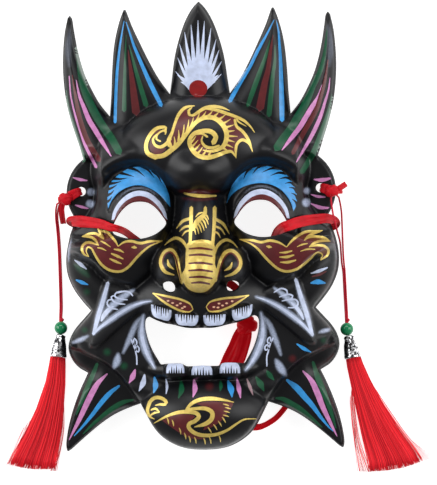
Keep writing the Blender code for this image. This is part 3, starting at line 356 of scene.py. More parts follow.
# Paint. Points are in the photo's pixels, (across, down). A line has its widths from end to end.
LINES = [
    # Outer horns
    ("pink", [(69, 76), (70.5, 95), (72.5, 105), (75, 115), (78, 125), (81.5, 135), (85, 145), (96, 167)],
     (1, 1.5, 2, 3, 3)),
    ("maroon", [(72, 75), (76, 100), (80, 120), (87, 140), (99, 160)], (1, 3, 5, 5.5, 5)),
    ("pink", [(76, 80), (79, 95), (84, 108), (89, 120), (95, 130), (101, 140), (111, 156)],
     (0.6, 2.5, 4, 5, 5, 4, 1)),
    ("green", [(76, 40), (79, 65), (84, 88), (90, 103), (97, 117), (104, 128), (111, 138), (119, 152)],
     (1, 4, 7, 8, 8, 8, 7)),
    ("green", [(66, 90), (68, 108), (72, 124), (77, 140), (84, 160)], (1, 3, 5, 5, 4)),
    ("green", [(327, 30), (325, 50), (323, 62), (319, 74), (313, 86), (308, 98), (302, 110), (296, 120),
               (290, 130), (283, 139), (277, 148)], (1, 3, 5, 6.5, 8, 8, 8)),
    ("pink", [(322, 85), (318, 97), (312, 107), (306, 117), (300, 127), (293, 136), (282, 150)],
     (0.6, 3, 5, 5, 5, 4, 1)),
    ("maroon", [(328, 60), (325, 80), (321, 95), (317, 108), (311, 120), (304, 132), (293, 153)],
     (1, 3, 4.5, 5, 5, 4)),
    ("pink", [(330, 78), (328.5, 90), (325, 102), (321, 115), (316, 127), (311, 137), (296.5, 162)],
     (0.6, 2, 3, 4, 4, 3, 1)),
    ("green", [(332, 95), (329, 110), (325, 123), (320, 137), (315, 150), (302, 172)],
     (1.5, 3.5, 5, 6, 6, 5)),
    # Inner horns
    ("green", [(126, 35), (125, 60), (124, 110)], (0.6, 3, 4.5)),
    ("green", [(129, 45), (133, 60), (137, 75), (146, 105)], (0.6, 3, 4.5, 5)),
    ("maroon", [(128, 50), (130, 65), (132, 80), (136, 112)], (0.6, 4, 6.5, 8)),
    ("blue", [(124, 21), (121, 38), (119, 52), (117.5, 66), (116.5, 80), (115.8, 95), (115, 122)],
     (0.8, 1.8, 2.6, 3, 3, 3)),
    ("blue", [(126, 22), (130, 34), (134, 46), (139, 58), (145, 72), (151, 85), (161, 105)],
     (0.8, 2, 3, 3.6, 4.2, 4.6, 4)),
    ("green", [(270, 40), (266, 55), (262, 66), (258, 77), (254, 88), (248, 105)], (0.6, 3, 4, 5, 5, 4)),
    ("green", [(275, 45), (275, 60), (273, 75), (271.5, 90), (269, 115)], (0.6, 3, 4, 5, 5)),
    ("maroon", [(273, 35), (270, 55), (268, 70), (265, 82), (260, 108)], (0.6, 3.5, 5, 7, 8)),
    ("blue", [(274, 20), (268, 32), (262, 43), (256, 54), (250, 66), (244, 76), (238, 86), (230, 101)],
     (0.8, 2, 3, 3.6, 4, 4.4, 4)),
    ("blue", [(276.5, 20), (278.5, 32), (279.5, 45), (280.5, 60), (281, 75), (281.5, 90), (282, 120)],
     (0.8, 2, 3, 3.8, 4.4, 5, 4.6)),
    # Ears
    ("pink", [(330, 178.5), (322, 180), (314, 179.5)], (2, 4.4, 1)),
    ("pink", [(325, 197), (318, 196.5), (311, 194.5)], (1.6, 3, 1)),
    ("pink", [(328, 208), (320, 207.5), (311, 203.5)], (2, 4, 1)),
    ("pink", [(73, 177.5), (80, 179.5), (87, 180.5)], (1, 3.4, 1)),
    ("pink", [(75, 205), (82, 207), (88, 208.5)], (1, 3, 1)),
    # Flaps
    ("white", [(74.6, 260.2), (80, 264), (86.3, 269.1)], (1, 4, 1)),
    ("blue", [(76, 280), (82, 282.5), (87.7, 284.7)], (1.4, 4, 1)),
    ("white", [(311, 273.3), (319, 271), (327.3, 267.6)], (1, 3.6, 1.4)),
    ("maroon", [(312, 276.6), (319, 274.6), (326.3, 271.4)], (1, 3, 1)),
    ("blue", [(311, 283), (318, 281.8), (325, 283)], (1.6, 5.6, 1.6)),
    ("blue", [(297, 344), (304, 348.6), (311, 352)], (1.4, 4, 1)),
    # Lower spikes
    ("pink", [(107, 374), (98, 383), (92, 393), (86, 405), (80, 418), (73, 432), (69, 440)],
     (1.4, 5, 6, 5.6, 4.6, 3, 0.8)),
    ("blue", [(119, 386), (110, 393), (101, 403), (92, 415), (83, 426), (74, 436)],
     (2.4, 5, 4.6, 3.6, 2.4, 0.8)),
    ("green", [(133, 400), (124, 402), (115, 407), (104, 415), (92, 425), (83, 434)], (2, 5, 5.5, 4, 3, 1)),
    ("green", [(97, 364), (93, 374), (88, 385), (82, 400), (76, 415)], (3, 5, 5, 4, 1)),
    ("pink", [(303, 371), (311, 380), (317, 392), (322, 405), (328, 418), (337, 436)],
     (1.6, 5.6, 6, 5, 3.6, 0.8)),
    ("blue", [(287, 380), (297, 388), (304, 396), (312, 405), (320, 416), (328, 426), (333, 431)],
     (2.6, 6.6, 6, 5, 3.6, 2.4, 0.8)),
    ("green", [(276, 398), (283, 399), (291, 403.5), (300, 409), (310, 417), (322, 427)],
     (2, 5.6, 6, 5, 3.6, 1)),
    ("green", [(313, 362), (318, 378), (323, 390), (328, 403), (332, 415), (336, 428)],
     (2.6, 5.6, 6, 5, 3.6, 1)),
    # Drops under the lip
    ("pink", [(135, 370), (132.5, 377), (129, 383)], (2, 6, 1)),
    ("white", [(144.5, 375), (143, 383), (139, 391)], (2, 6, 1)),
    ("blue", [(154.5, 377.5), (155.5, 386), (153.5, 393)], (2, 6, 1)),
    ("white", [(166, 379), (167, 387), (166, 394)], (1, 3, 0.6)),
    ("green", [(181, 381), (181.5, 390), (178.5, 398)], (2, 6, 1)),
    ("pink", [(194, 380), (195, 389), (193, 397)], (2, 5.6, 1)),
    ("green", [(220.5, 381), (221, 387), (220, 391)], (1.6, 4, 1)),
    ("blue", [(228, 381), (231, 389), (232, 397)], (2, 7, 1)),
    ("pink", [(237, 379), (239, 389), (240.5, 398)], (1.6, 5, 0.8)),
    ("rose", [(247, 379), (250, 387), (253, 395)], (1.2, 3.6, 0.8)),
    ("green", [(256, 377), (260.5, 384), (264, 391)], (2, 7, 1)),
    ("green", [(267, 371), (270.5, 376), (274, 380)], (2, 5, 1)),
    # Left tusk plate
    ("white", [(107.8, 283), (103, 300.4), (98.2, 316), (93.4, 334)], (3.4, 4, 4.4, 3)),
    ("white", [(93.4, 334), (99.4, 328), (109, 320.8), (121, 312.4), (133, 305.8), (143.8, 302.2),
               (151, 301.2)],
     (1.9, 2.7, 2.9, 2.7, 2.4, 1.9, 0.5)),
    ("white", [(101.2, 321), (103.6, 315.6), (107.4, 311), (113, 306.6)], (1.6, 4.6, 4.4, 1.6)),
    ("white", [(117.5, 309.4), (111, 308), (107.2, 304.4), (108, 300.4), (113, 299.6)],
     (1, 1.6, 1.8, 1.6, 1)),
    ("white", [(125, 304.2), (118.4, 303.6), (112.6, 300.6), (111.2, 296.8), (115, 295.4)],
     (1, 1.6, 1.8, 1.6, 1)),
    ("white", [(127.4, 299.8), (120.6, 299), (114.6, 296.2), (116.4, 292.6), (122, 291.2)],
     (1, 1.6, 1.8, 1.6, 1)),
    ("white", [(132.6, 295.8), (129.6, 292.4), (124, 291.4), (117, 293)], (1.2, 1.8, 1.8, 1.2)),
    # Right tusk plate
    ("white", [(295.8, 279.4), (300.6, 295.6), (306.6, 313.6), (312.4, 335)], (3.4, 4, 4.4, 3)),
    ("white", [(312.4, 335), (303, 324.8), (291, 315), (279, 306.6), (267, 300.6), (256, 296.8)],
     (1.9, 2.9, 2.9, 2.6, 2.1, 0.5)),
    ("white", [(303.6, 319.4), (300.6, 313), (296.4, 307.4), (291.4, 302.6)], (1.4, 3.6, 3.6, 1.6)),
    ("white", [(288, 307.6), (293.8, 307.4), (298, 304.2), (296.6, 300.2), (291, 299.2), (282, 301)],
     (1, 1.6, 1.8, 1.8, 1.6, 1)),
    ("white", [(286, 299.6), (291, 299), (292.6, 295.8), (287.6, 294.2), (279.4, 297)],
     (1, 1.6, 1.8, 1.6, 1)),
    ("white", [(282.6, 296), (286.8, 294.6), (286.8, 290.6), (281.4, 288.4), (274, 292.4)],
     (1, 1.6, 1.8, 1.6, 1)),
    # Beside the mouth
    ("white", [(143.4, 315), (141.9, 325.7), (141.9, 335.9), (144.5, 347.1), (148.6, 357.3), (154.5, 368)],
     (0.9, 2.9, 3.7, 3.3, 2.9, 0.6)),
    ("white", [(131.5, 340), (133, 344), (136, 345.6), (136.6, 341.6), (134.4, 338.4), (133.4, 343),
               (135.4, 350), (138.4, 352), (139, 348.4), (136.4, 345.4), (135.4, 350), (136.6, 357),
               (136.8, 364.5)], (1.5, 1.5, 1.4)),
    ("white", [(261, 312.6), (262.9, 325.7), (261.8, 339), (256.7, 353.3), (250.4, 364), (245.4, 370.4)],
     (0.9, 2.9, 3.7, 3.3, 2.5, 0.6)),
    ("white", [(273, 338), (271, 342), (268, 343), (267.6, 339.4), (270, 337), (270.6, 342), (268.4, 348.6),
               (265.4, 350), (265, 346.6), (267.6, 344.6), (268.6, 350), (266.9, 356), (266.9, 366)],
     (1.5, 1.5, 1.4)),
    # Nose
    ("gold", [(184, 193.2), (192, 195), (203, 196), (216, 195.8)], (1.6, 3.4, 3.4, 1.8)),
    ("gold", [(191.3, 207.6), (190.9, 225), (190, 243)], (3.6, 3.4, 3)),
    ("gold", [(214.8, 207.6), (214.2, 225), (212.6, 245)], (4, 3.4, 3.2)),
    ("gold", [(205.4, 207.4), (204.6, 214), (198, 220.4), (192.4, 229.6)], (3, 4.4, 5.4, 3.4)),
    ("gold", [(203.6, 212.4), (199, 213.4), (195.6, 217)], (1, 2, 0.6)),
    ("gold", [(204.4, 214), (206.8, 215.6), (208.6, 219.6)], (2, 1.8, 0.5)),
    ("gold", [(203, 216), (206.4, 219.4), (208.4, 224.6)], (2, 1.8, 0.5)),
    ("gold", [(201, 218), (204.4, 222), (206.4, 228)], (2, 1.8, 0.5)),
    ("gold", [(199, 220), (202.4, 225), (204.2, 230.6)], (2, 1.8, 0.5)),
    ("gold", [(197, 222), (200, 227), (201.6, 232.6)], (2, 1.8, 0.5)),
    ("gold", [(195, 224), (197.6, 229), (198.8, 234)], (2, 1.8, 0.5)),
    ("gold", [(193.4, 227), (195, 231), (195.8, 234.6)], (2, 1.6, 0.5)),
    ("gold", [(190.6, 218.4), (183, 221), (176.4, 228.4)], (3, 3, 0.6)),
    ("gold", [(190, 226), (184.6, 227), (179.4, 231.4)], (2.6, 2.4, 0.6)),
    ("gold", [(189.6, 230.4), (185.6, 231.6), (182, 236)], (1.8, 1.8, 0.6)),
    ("gold", [(215.4, 219), (223, 223.8), (229.4, 234)], (3, 3, 0.6)),
    ("gold", [(215.4, 226.4), (220.6, 228.6), (225, 234.8)], (2.2, 2, 0.6)),
    ("gold", [(215.2, 231.8), (218, 233.4), (220.4, 237.6)], (1.8, 1.8, 0.6)),
    ("gold", [(187, 249), (185.4, 245), (181.7, 240.4), (175.9, 237.9), (170.2, 240.4), (164.6, 245)],
     (1.6, 3, 3.4, 3, 2, 0.6)),
    ("gold", [(215, 253.4), (217.1, 246.5), (221.9, 241.6), (226.7, 239.8), (232.4, 242.3), (237.6, 247.6)],
     (1.6, 3, 3.4, 3, 2, 0.6)),
    ("gold", [(182, 283), (179.6, 273), (177.8, 264), (175.9, 256), (171.1, 250), (165.8, 251.4),
              (161.4, 258.6), (161.2, 265.3), (164.8, 271.6), (174, 275)],
     (3, 3.6, 4, 4.2, 4.2, 4.2, 4.2, 4, 3.4, 1.2)),
    ("maroon", [(180.4, 280), (178.6, 271), (176.6, 262), (174.6, 256), (170.6, 252), (166.4, 253.2),
                (163, 259), (163, 264.6), (166, 269.8)], (0.8, 1.4, 1.6, 1.6, 1.4, 0.6)),
    ("gold", [(215.2, 281), (218, 271), (220.6, 261.4), (225.7, 252.6), (231.4, 250.8), (237.4, 254.9),
              (240.4, 261.4), (239.2, 268.1), (233.6, 273.4), (225, 276.6)],
     (3, 3.6, 4, 4.2, 4.2, 4.2, 4.2, 4, 3.4, 1.2)),
    ("maroon", [(217.4, 279), (219.8, 270), (222.4, 262), (226.4, 255.2), (231, 253), (235.8, 256.4),
                (238.4, 261.8), (237.4, 266.8), (232.8, 271)], (0.8, 1.4, 1.6, 1.6, 1.4, 0.6)),
    ("gold", [(167.6, 259.8), (168.8, 265), (173.8, 269.4)], (1, 3.4, 0.8)),
    ("gold", [(232, 262.6), (230.2, 267.4), (224.4, 270.6)], (1, 3.4, 0.8)),
    # Flames on the cheeks
    ("gold", [(123.6, 252.4), (119.4, 250.2), (114, 249.2)], (0.8, 2.6, 1.2)),
    ("gold", [(123.2, 259), (117.4, 256.2), (111.4, 253.6)], (0.8, 3, 1.4)),
    ("gold", [(121.4, 263.8), (115.8, 261.6), (109.8, 258.8)], (0.8, 2.8, 1.4)),
    ("gold", [(100.6, 241), (105, 243.2), (110.4, 247)], (1.2, 1.8, 0.6)),
    ("gold", [(97.5, 247.7), (101.6, 248.4), (106, 250.6)], (1.2, 1.8, 0.6)),
    ("gold", [(131.6, 247.4), (134.2, 247.2), (136.6, 247.8)], (1, 3.4, 1)),
    ("gold", [(291.9, 250.9), (285.6, 252.4), (279.6, 252.6)], (1.4, 2.4, 0.8)),
    ("gold", [(293.8, 255), (286.6, 257), (279.4, 257)], (1.4, 3, 0.8)),
    ("gold", [(295.7, 260.2), (288, 262.2), (280.2, 262.2)], (1.4, 3, 0.8)),
    ("gold", [(297.1, 246.8), (302, 244.6), (307.4, 243.5)], (0.6, 1.8, 1)),
    ("gold", [(300.5, 251.3), (307, 249.2), (314.8, 249.2)], (0.6, 1.8, 1)),
    ("gold", [(266.6, 246.2), (269, 246.8), (271.6, 247.2)], (1, 3.4, 1)),
    # Chin
    ("gold", [(155.2, 405.4), (159.8, 404.4), (164.9, 404.4), (166.4, 402.2), (161.8, 398.4), (155.7, 397.6),
              (150.6, 401), (148.4, 406), (147.4, 411.4), (149.8, 416.6), (154.2, 419.1)],
     (0.8, 2.6, 3.4, 3.6, 3.6, 3.6, 3.6, 3.4, 2.6, 0.8)),
    ("gold", [(151, 410), (155.2, 408.6), (159.3, 411.9)], (1.4, 2.6, 0.8)),
    ("gold", [(150.6, 415.4), (154.6, 412.8), (159.3, 412.4)], (1.4, 2.2, 0.8)),
    ("gold", [(233.8, 402.2), (222, 399.6), (208.8, 398.6), (197.6, 400.4), (190.4, 404.6), (186.4, 409.8)],
     (0.6, 2.4, 4, 4, 3.6, 2.6)),
    ("gold", [(186.4, 409.8), (195.5, 408.6), (206.4, 408.8), (212.2, 412.6), (211.8, 418.4), (206.4, 423.4),
              (194.5, 427)],
     (2.6, 3, 3.8, 4.4, 4.6, 4, 0.8)),
    ("gold", [(153.7, 423.4), (165.9, 416.7), (177.1, 412.7), (187.3, 411.8), (196.6, 413.4), (199, 416.5),
              (195, 421), (189.6, 423.6), (188.4, 426.4), (191.4, 430.8), (198.2, 434.4), (206.7, 435.5),
              (218, 434), (228.2, 429.6), (236.3, 424), (244.5, 419.4), (256.4, 418.8)],
     (0.6, 2, 2.8, 3.4, 4, 4.2, 4, 4, 4, 4, 3.6, 3.2, 2.8, 2.4, 2, 1.6, 0.6)),
]
LINES += [("gold", [(u - 2.8, v - 0.6), (u, v), (u + 2.8, v + 1)], (0.6, 1.5, 0.6)) for u, v in (
    (226, 404.6), (228, 408), (226.8, 411.6), (226, 415.6))]
LINES += [("gold", [(u - 1.8, v - 2.4), (u, v), (u + 1.6, v + 3)], (0.6, 1.6, 0.6)) for u, v in (
    (224, 419.6), (220, 423.4), (215.4, 426.8), (209.8, 429.8))]
LINES += [("gold", [(u - 1, v - 3), (u + 0.2, v), (u + 0.6, v + 3.2)], (0.6, 1.6, 0.6)) for u, v in (
    (168, 420.8), (173, 423), (180.2, 431), (185.3, 436), (189.8, 439), (195.5, 440.2),
    (204.7, 441), (210.4, 440.4),
    (220, 438.8))]

# Areas are closed, and each row of points is one smooth stretch between two corners
FLAME_LEFT = [
    [(162.2, 241), (149.3, 241.4), (140.4, 243.2), (131.4, 241.2), (124.3, 242), (118, 246.3)],
    [(118, 246.3), (115.4, 241.4), (110.9, 236.1), (107.3, 232.4), (102, 231.1), (97.5, 228.5)],
    [(97.5, 228.5), (101.1, 234.3), (103.8, 239.2)],
    [(103.8, 239.2), (95.7, 233.6), (89.5, 233.8), (81.9, 236.5)],
    [(81.9, 236.5), (90.4, 236.9), (94.8, 239.6), (98.4, 245.4)],
    [(98.4, 245.4), (91.3, 242.8), (85.9, 242.8), (82.3, 245.9), (81.9, 250.4), (84.1, 254.4),
     (88.6, 256.6)],
    [(88.6, 256.6), (86, 251), (87.7, 247.2), (91.3, 248.6), (94.8, 254.8), (99.3, 262), (104.6, 267.3),
     (111.8, 270.9), (120.7, 271.3), (127.9, 267.3), (135.9, 258.4), (143, 251.3), (150.2, 245.9),
     (162.2, 241)],
]
FLAME_RIGHT = [
    [(239.7, 239.4), (252.6, 240.3), (261.2, 242.2), (269.9, 240.5), (279.4, 242.7), (286.6, 247)],
    [(286.6, 247), (290.9, 241.8), (297.6, 236), (305.3, 232), (314.8, 231.2), (322.5, 230.5)],
    [(322.5, 230.5), (312.9, 233.6), (307.2, 237), (304.3, 240.3)],
    [(304.3, 240.3), (310, 236.8), (319.6, 236.9), (325.4, 238.2), (330.1, 241.3)],
    [(330.1, 241.3), (322.5, 240.7), (314.8, 242.7), (309.1, 247)],
    [(309.1, 247), (317.7, 245.1), (324.4, 246.1), (328.4, 250.4), (327.3, 255.2), (320.6, 260)],
    [(320.6, 260), (322.4, 254.6), (317.7, 252.3), (310, 259), (303.3, 264.7), (295.7, 269.5),
     (286.1, 271.4), (278.5, 269), (271.8, 263.8), (265.1, 257.1), (257.4, 248.5), (249.8, 243.2),
     (239.7, 239.4)],
]
LEAF_LEFT = [[(152.7, 293.1), (165.9, 296.1), (181.2, 299.7), (190.4, 304.3), (193, 309.4)],
             [(193, 309.4), (189.4, 311.9), (181.2, 310.9), (171, 306.3), (160.8, 299.7), (152.7, 293.1)]]
LEAF_RIGHT = [[(249.1, 295.1), (237.3, 297.1), (222, 298.7), (209.8, 302.2), (206.2, 306.8)],
              [(206.2, 306.8), (208.8, 310.9), (216.9, 311.4), (230.2, 306.8), (241.4, 300.2),
               (249.1, 295.1)]]
BROW_LEFT = [
    [(107.9, 208.6), (112, 200), (119.3, 191.8), (129.3, 186.6), (139.3, 185.2), (149.3, 188),
     (159.3, 194.4), (166.4, 202.4), (170.2, 207)],
    [(170.2, 207), (169.6, 198), (166.4, 188), (159.3, 176.6), (149.3, 169.6), (139.3, 166.8),
     (130.7, 167.6), (121.6, 172.4), (114.4, 178.2), (110, 184), (108.2, 192), (107.2, 200), (107.9, 208.6)],
]
# Black hairs that cut into the left brow's edge: outer end, middle, tip
BROW_HAIRS = [
    ((106.4, 202), (109.6, 200), (111.6, 196.4)), ((107, 195.4), (111, 193.4), (114, 190)),
              ((107.4, 189.4), (112.4, 187.6), (117, 184.6)),
    ((109, 183.6), (114.6, 183), (121, 181.4)), ((113, 178.4), (119.4, 179), (127, 178)),
              ((119.6, 172.6), (127, 174.6), (134, 176.6)),
    ((129, 167.6), (137, 170.4), (144.6, 176.4)), ((141.6, 166), (148.4, 170.4), (154, 177.6)),
              ((152.4, 170.6), (158, 176), (161.6, 183)),
]
BROW_RIGHT = [
    [(226.5, 204), (230, 197), (236, 191), (244, 186.5), (252, 184), (262, 183), (272, 185), (280, 189),
     (286, 195), (291, 203), (293.5, 211)],
    [(293.5, 211), (296, 206), (297, 199), (296, 191), (293, 183.6), (288.6, 177), (282, 171),
     (273.6, 167.4), (264, 166), (255, 167.4), (246, 171), (239, 176.5), (233, 184), (229, 193),
     (226.5, 204)],
]
BROW_HAIRS += [
    ((279.6, 168.4), (271, 168.6), (262, 172.4)), ((286, 173.6), (278.6, 172.8), (270.6, 175.6)),
               ((291.6, 179.4), (285.6, 177.6), (279, 179)),
    ((295, 185.6), (290.6, 182.6), (285, 183.4)), ((297, 192.6), (293.6, 188), (289, 187.6)),
               ((298, 199.6), (295, 194.6), (291, 193)),
    ((297.6, 206), (295.4, 201.4), (292, 199)), ((266, 164.6), (258, 167.6), (252.4, 174)),
               ((252, 167), (246.4, 172.4), (243.6, 179)),
]
SCROLL_DARK = [
    # Maroon inside the forehead's scroll
    [[(169.4, 144.6), (171.6, 136), (175.4, 123.3), (179, 115), (185.6, 109), (188.4, 109.4), (187.6, 114.6),
      (190, 117.4)],
     [(190, 117.4), (196.6, 114.4), (205, 109.4), (214, 108.6), (223, 111.6), (233, 115.6), (236.6, 118.6)],
     [(236.6, 118.6), (236, 123), (238.4, 128), (243.8, 132.4), (248, 140), (250.6, 146)],
     [(250.6, 146), (246.6, 141), (241.4, 140.4), (236.8, 144.6), (235.4, 153)],
     [(235.4, 153), (229, 149.6), (222, 151), (224.4, 142), (225.4, 133.4), (222, 125.4), (214, 119),
      (205, 119), (197, 123.6), (190, 132), (181, 142), (171.6, 149.6), (169.4, 144.6)]],
    [[(191, 137), (197, 133), (204, 133), (201.8, 138), (201.4, 143), (205, 148), (212, 150), (212, 154),
      (204, 154.6), (196, 151), (191.4, 145), (191, 137)]],
    [[(164.6, 131), (158, 130), (153, 135.4), (149.6, 143.4), (150.4, 150.6), (156, 154.4), (162.6, 152.4),
      (166, 148), (161, 147.4), (155.4, 145.4), (152.6, 140), (155, 134.4), (161, 132), (164.6, 131)]],
]
SCROLL_GOLD = [
    # The small spiral on the left
    ([(164.8, 131.4), (165.8, 127.6), (157.4, 128), (150.2, 134.6), (146, 144.6), (147.6, 153),
      (156, 157.4)], (2, 3.4, 3.8, 3.6, 3.8, 4.4, 5)),
    ([(160.4, 141.2), (156.4, 139), (157.4, 134.4), (162.8, 130.6), (165.8, 131), (165.2, 134.4)],
     (1.6, 2, 1.6, 1.8, 2.4, 1)),
    ([(157, 134), (153, 139), (154.6, 144.6), (160, 147), (166, 144), (170.4, 138.4)],
     (1.2, 2.2, 2.8, 3.2, 3.6, 3)),
    # The bar, which becomes the great curve
    ([(154.6, 156.6), (163, 155.6), (170, 151), (177.6, 144.6), (184, 137), (190, 129), (196.8, 121.6),
      (205, 117.6), (214, 118), (221.6, 123.4), (226, 131), (226.4, 139), (223.4, 146), (216.6, 150),
      (209, 151.4), (203, 150)],
     (4.4, 4.6, 5, 4.8, 4.2, 3.8, 3.8, 4, 4.4, 4.8, 5, 4.8, 4.6, 4.2, 3.2, 1)),
    # The flame's left side, notch and crest
    ([(170, 146), (168.6, 141), (172, 132.6), (175.2, 122.6), (178.8, 114.4), (184.6, 108), (190, 106.2),
      (194.6, 105.8)],
     (4.4, 4, 2.8, 2.6, 3, 3.6, 3, 0.8)),
    ([(192, 107.4), (188.6, 110.6), (189.6, 115.2)], (1, 2.8, 2.6)),
    ([(188.6, 114.6), (192.6, 115.4), (197.4, 112.6), (205, 108), (214, 106.6), (222, 107.6),
      (229.4, 110.4)],
     (1.8, 3, 3.4, 3.6, 3.4, 2.6, 0.6)),
    ([(206, 109), (216, 110), (226, 113.2), (236, 116.8), (243.6, 120.4), (250, 126), (254.6, 132.4)],
     (1, 3, 3.4, 3, 3, 2.2, 0.6)),
    ([(236.4, 117.6), (237.8, 121), (246.4, 126.4)], (2, 1.6, 0.4)),
    ([(234.8, 119.6), (236.4, 126), (242.6, 131.4), (248.2, 139.4), (252.6, 151.8)], (2.4, 3, 3, 2.8, 0.6)),
    ([(252.2, 150.4), (248.4, 142.8), (242, 139.8), (237, 144), (235.8, 150), (236, 158)],
     (0.8, 2.6, 3, 3, 2.6, 0.6)),
    # The inner spiral
    ([(236, 157.4), (231.6, 151.6), (226, 152), (218.4, 154.8), (207, 157.6), (198, 155.4), (191.6, 148.6),
      (189.4, 141), (193.6, 134), (202.6, 131), (211.4, 131.8), (215.8, 137), (213.4, 142.8)],
     (0.8, 3.4, 4, 4.2, 4.4, 4.6, 4.6, 4.2, 4, 4.2, 4.6, 5, 5)),
    ([(202.8, 136), (201.6, 141), (205.4, 146.4), (212, 147.8), (219, 145.6)], (1, 2.4, 3, 3, 2)),
    ([(196.4, 134.6), (202, 133.6), (207.4, 136.8)], (0.8, 2.4, 2)),
]
# Hair strokes on the scroll: where each leaves the gold, and its tip
SCROLL_HAIRS = [
    ((171.4, 147.4), (169.4, 140)), ((174.8, 144.4), (174, 136.6)), ((178.4, 140.6), (178.6, 130)),
                ((182.6, 136.4), (184, 124.4)),
    ((186.6, 131.6), (188.8, 119.6)), ((190.4, 127.4), (193.4, 117.4)), ((196, 121.6), (199.6, 112.4)),
                ((201.4, 118), (206, 111.4)),
    ((208, 116), (212.6, 110.6)), ((214.6, 116), (219, 111.6)), ((219.6, 119), (225.4, 114.6)),
                ((223.4, 123.4), (230.6, 119)),
    ((226.2, 127.4), (234, 124.6)), ((227.4, 131.6), (234.6, 130.6)), ((228, 136), (237.6, 136.4)),
                ((227.6, 140), (234.6, 142)),
    ((226, 144.4), (233, 147.6)), ((223, 148), (228.6, 151.4)), ((190.4, 143), (196, 136)),
                ((192, 146.4), (198, 140)),
    ((194.4, 150), (200, 144)), ((198, 153), (202.6, 147)), ((203, 155), (206.4, 149)),
                ((209, 155), (210.6, 150.4)),
]
CHIN_DARK = [
    [[(196, 403.6), (208, 401.4), (222, 402), (233, 403.4), (228, 412), (222, 420), (213, 426.6),
      (203, 430.4)],
     [(203, 430.4), (206, 424.6), (213, 419), (213.4, 412.6), (206, 408), (196, 403.6)]],
    [[(162, 420.6), (174, 415), (186, 414), (195, 416.4), (190, 421), (187, 424)],
     [(187, 424), (189, 430.4), (197, 436), (206, 438.4), (194, 439), (183, 435), (173, 428.4),
      (162, 420.6)]],
]
NOSE_BAR = [[(201.8, 239.4), (191.2, 241.3), (187.4, 243.3), (185.5, 255.7), (185, 268), (181.4, 275.4),
             (183.6, 282.5), (188.4, 289.2), (197, 292.5), (204.6, 292), (211.3, 287.3), (216.1, 280),
             (218.6, 273.6), (215.2, 265.3), (215.3, 255), (214.7, 246.1), (211.3, 241.3), (201.8, 239.4)]]
EYE_WHITE_LEFT = [[(111.4, 220), (113, 212), (117, 204.4), (124, 196.8), (132, 192), (140, 190.6),
                   (149, 192.6), (156.4, 198), (162, 204.6), (165.8, 212.4), (167.4, 220)],
                  [(167.4, 220), (164.4, 217), (161.6, 211.4), (156.4, 204.6), (148.6, 198.4),
                   (139.4, 195.8), (129.6, 198.6), (122, 204.6), (116.6, 212.4), (113.8, 219.6),
                   (111.4, 220)]]
EYE_RED_EDGE = [(111.4, 220), (117.4, 223), (120, 215.4), (125, 209), (132, 204.4), (140.6, 203),
                (149, 205.4), (156, 211), (161, 217), (164.6, 222), (167.4, 220)]
TEETH_TOP = [((151, 306), (171.4, 319.4), 0.3), ((175.1, 313.6), (198.4, 325.6), 0.06),
             ((203.2, 313.6), (225.6, 325.6), -0.06), ((232, 306), (252.4, 319), -0.3)]
TEETH_LOW = [((166.2, 362.6), (184.4, 374.4)), ((191.4, 364.4), (212.4, 376.2)),
             ((219.6, 362.6), (240.2, 374.4))]
FAN = [(175.5, 71.5), (177.5, 57.5), (179.5, 44), (184.5, 32), (191, 25), (198, 20.5), (204.4, 21),
       (211, 28), (216, 39.5), (219, 50), (221.5, 61.5), (221.5, 74)]
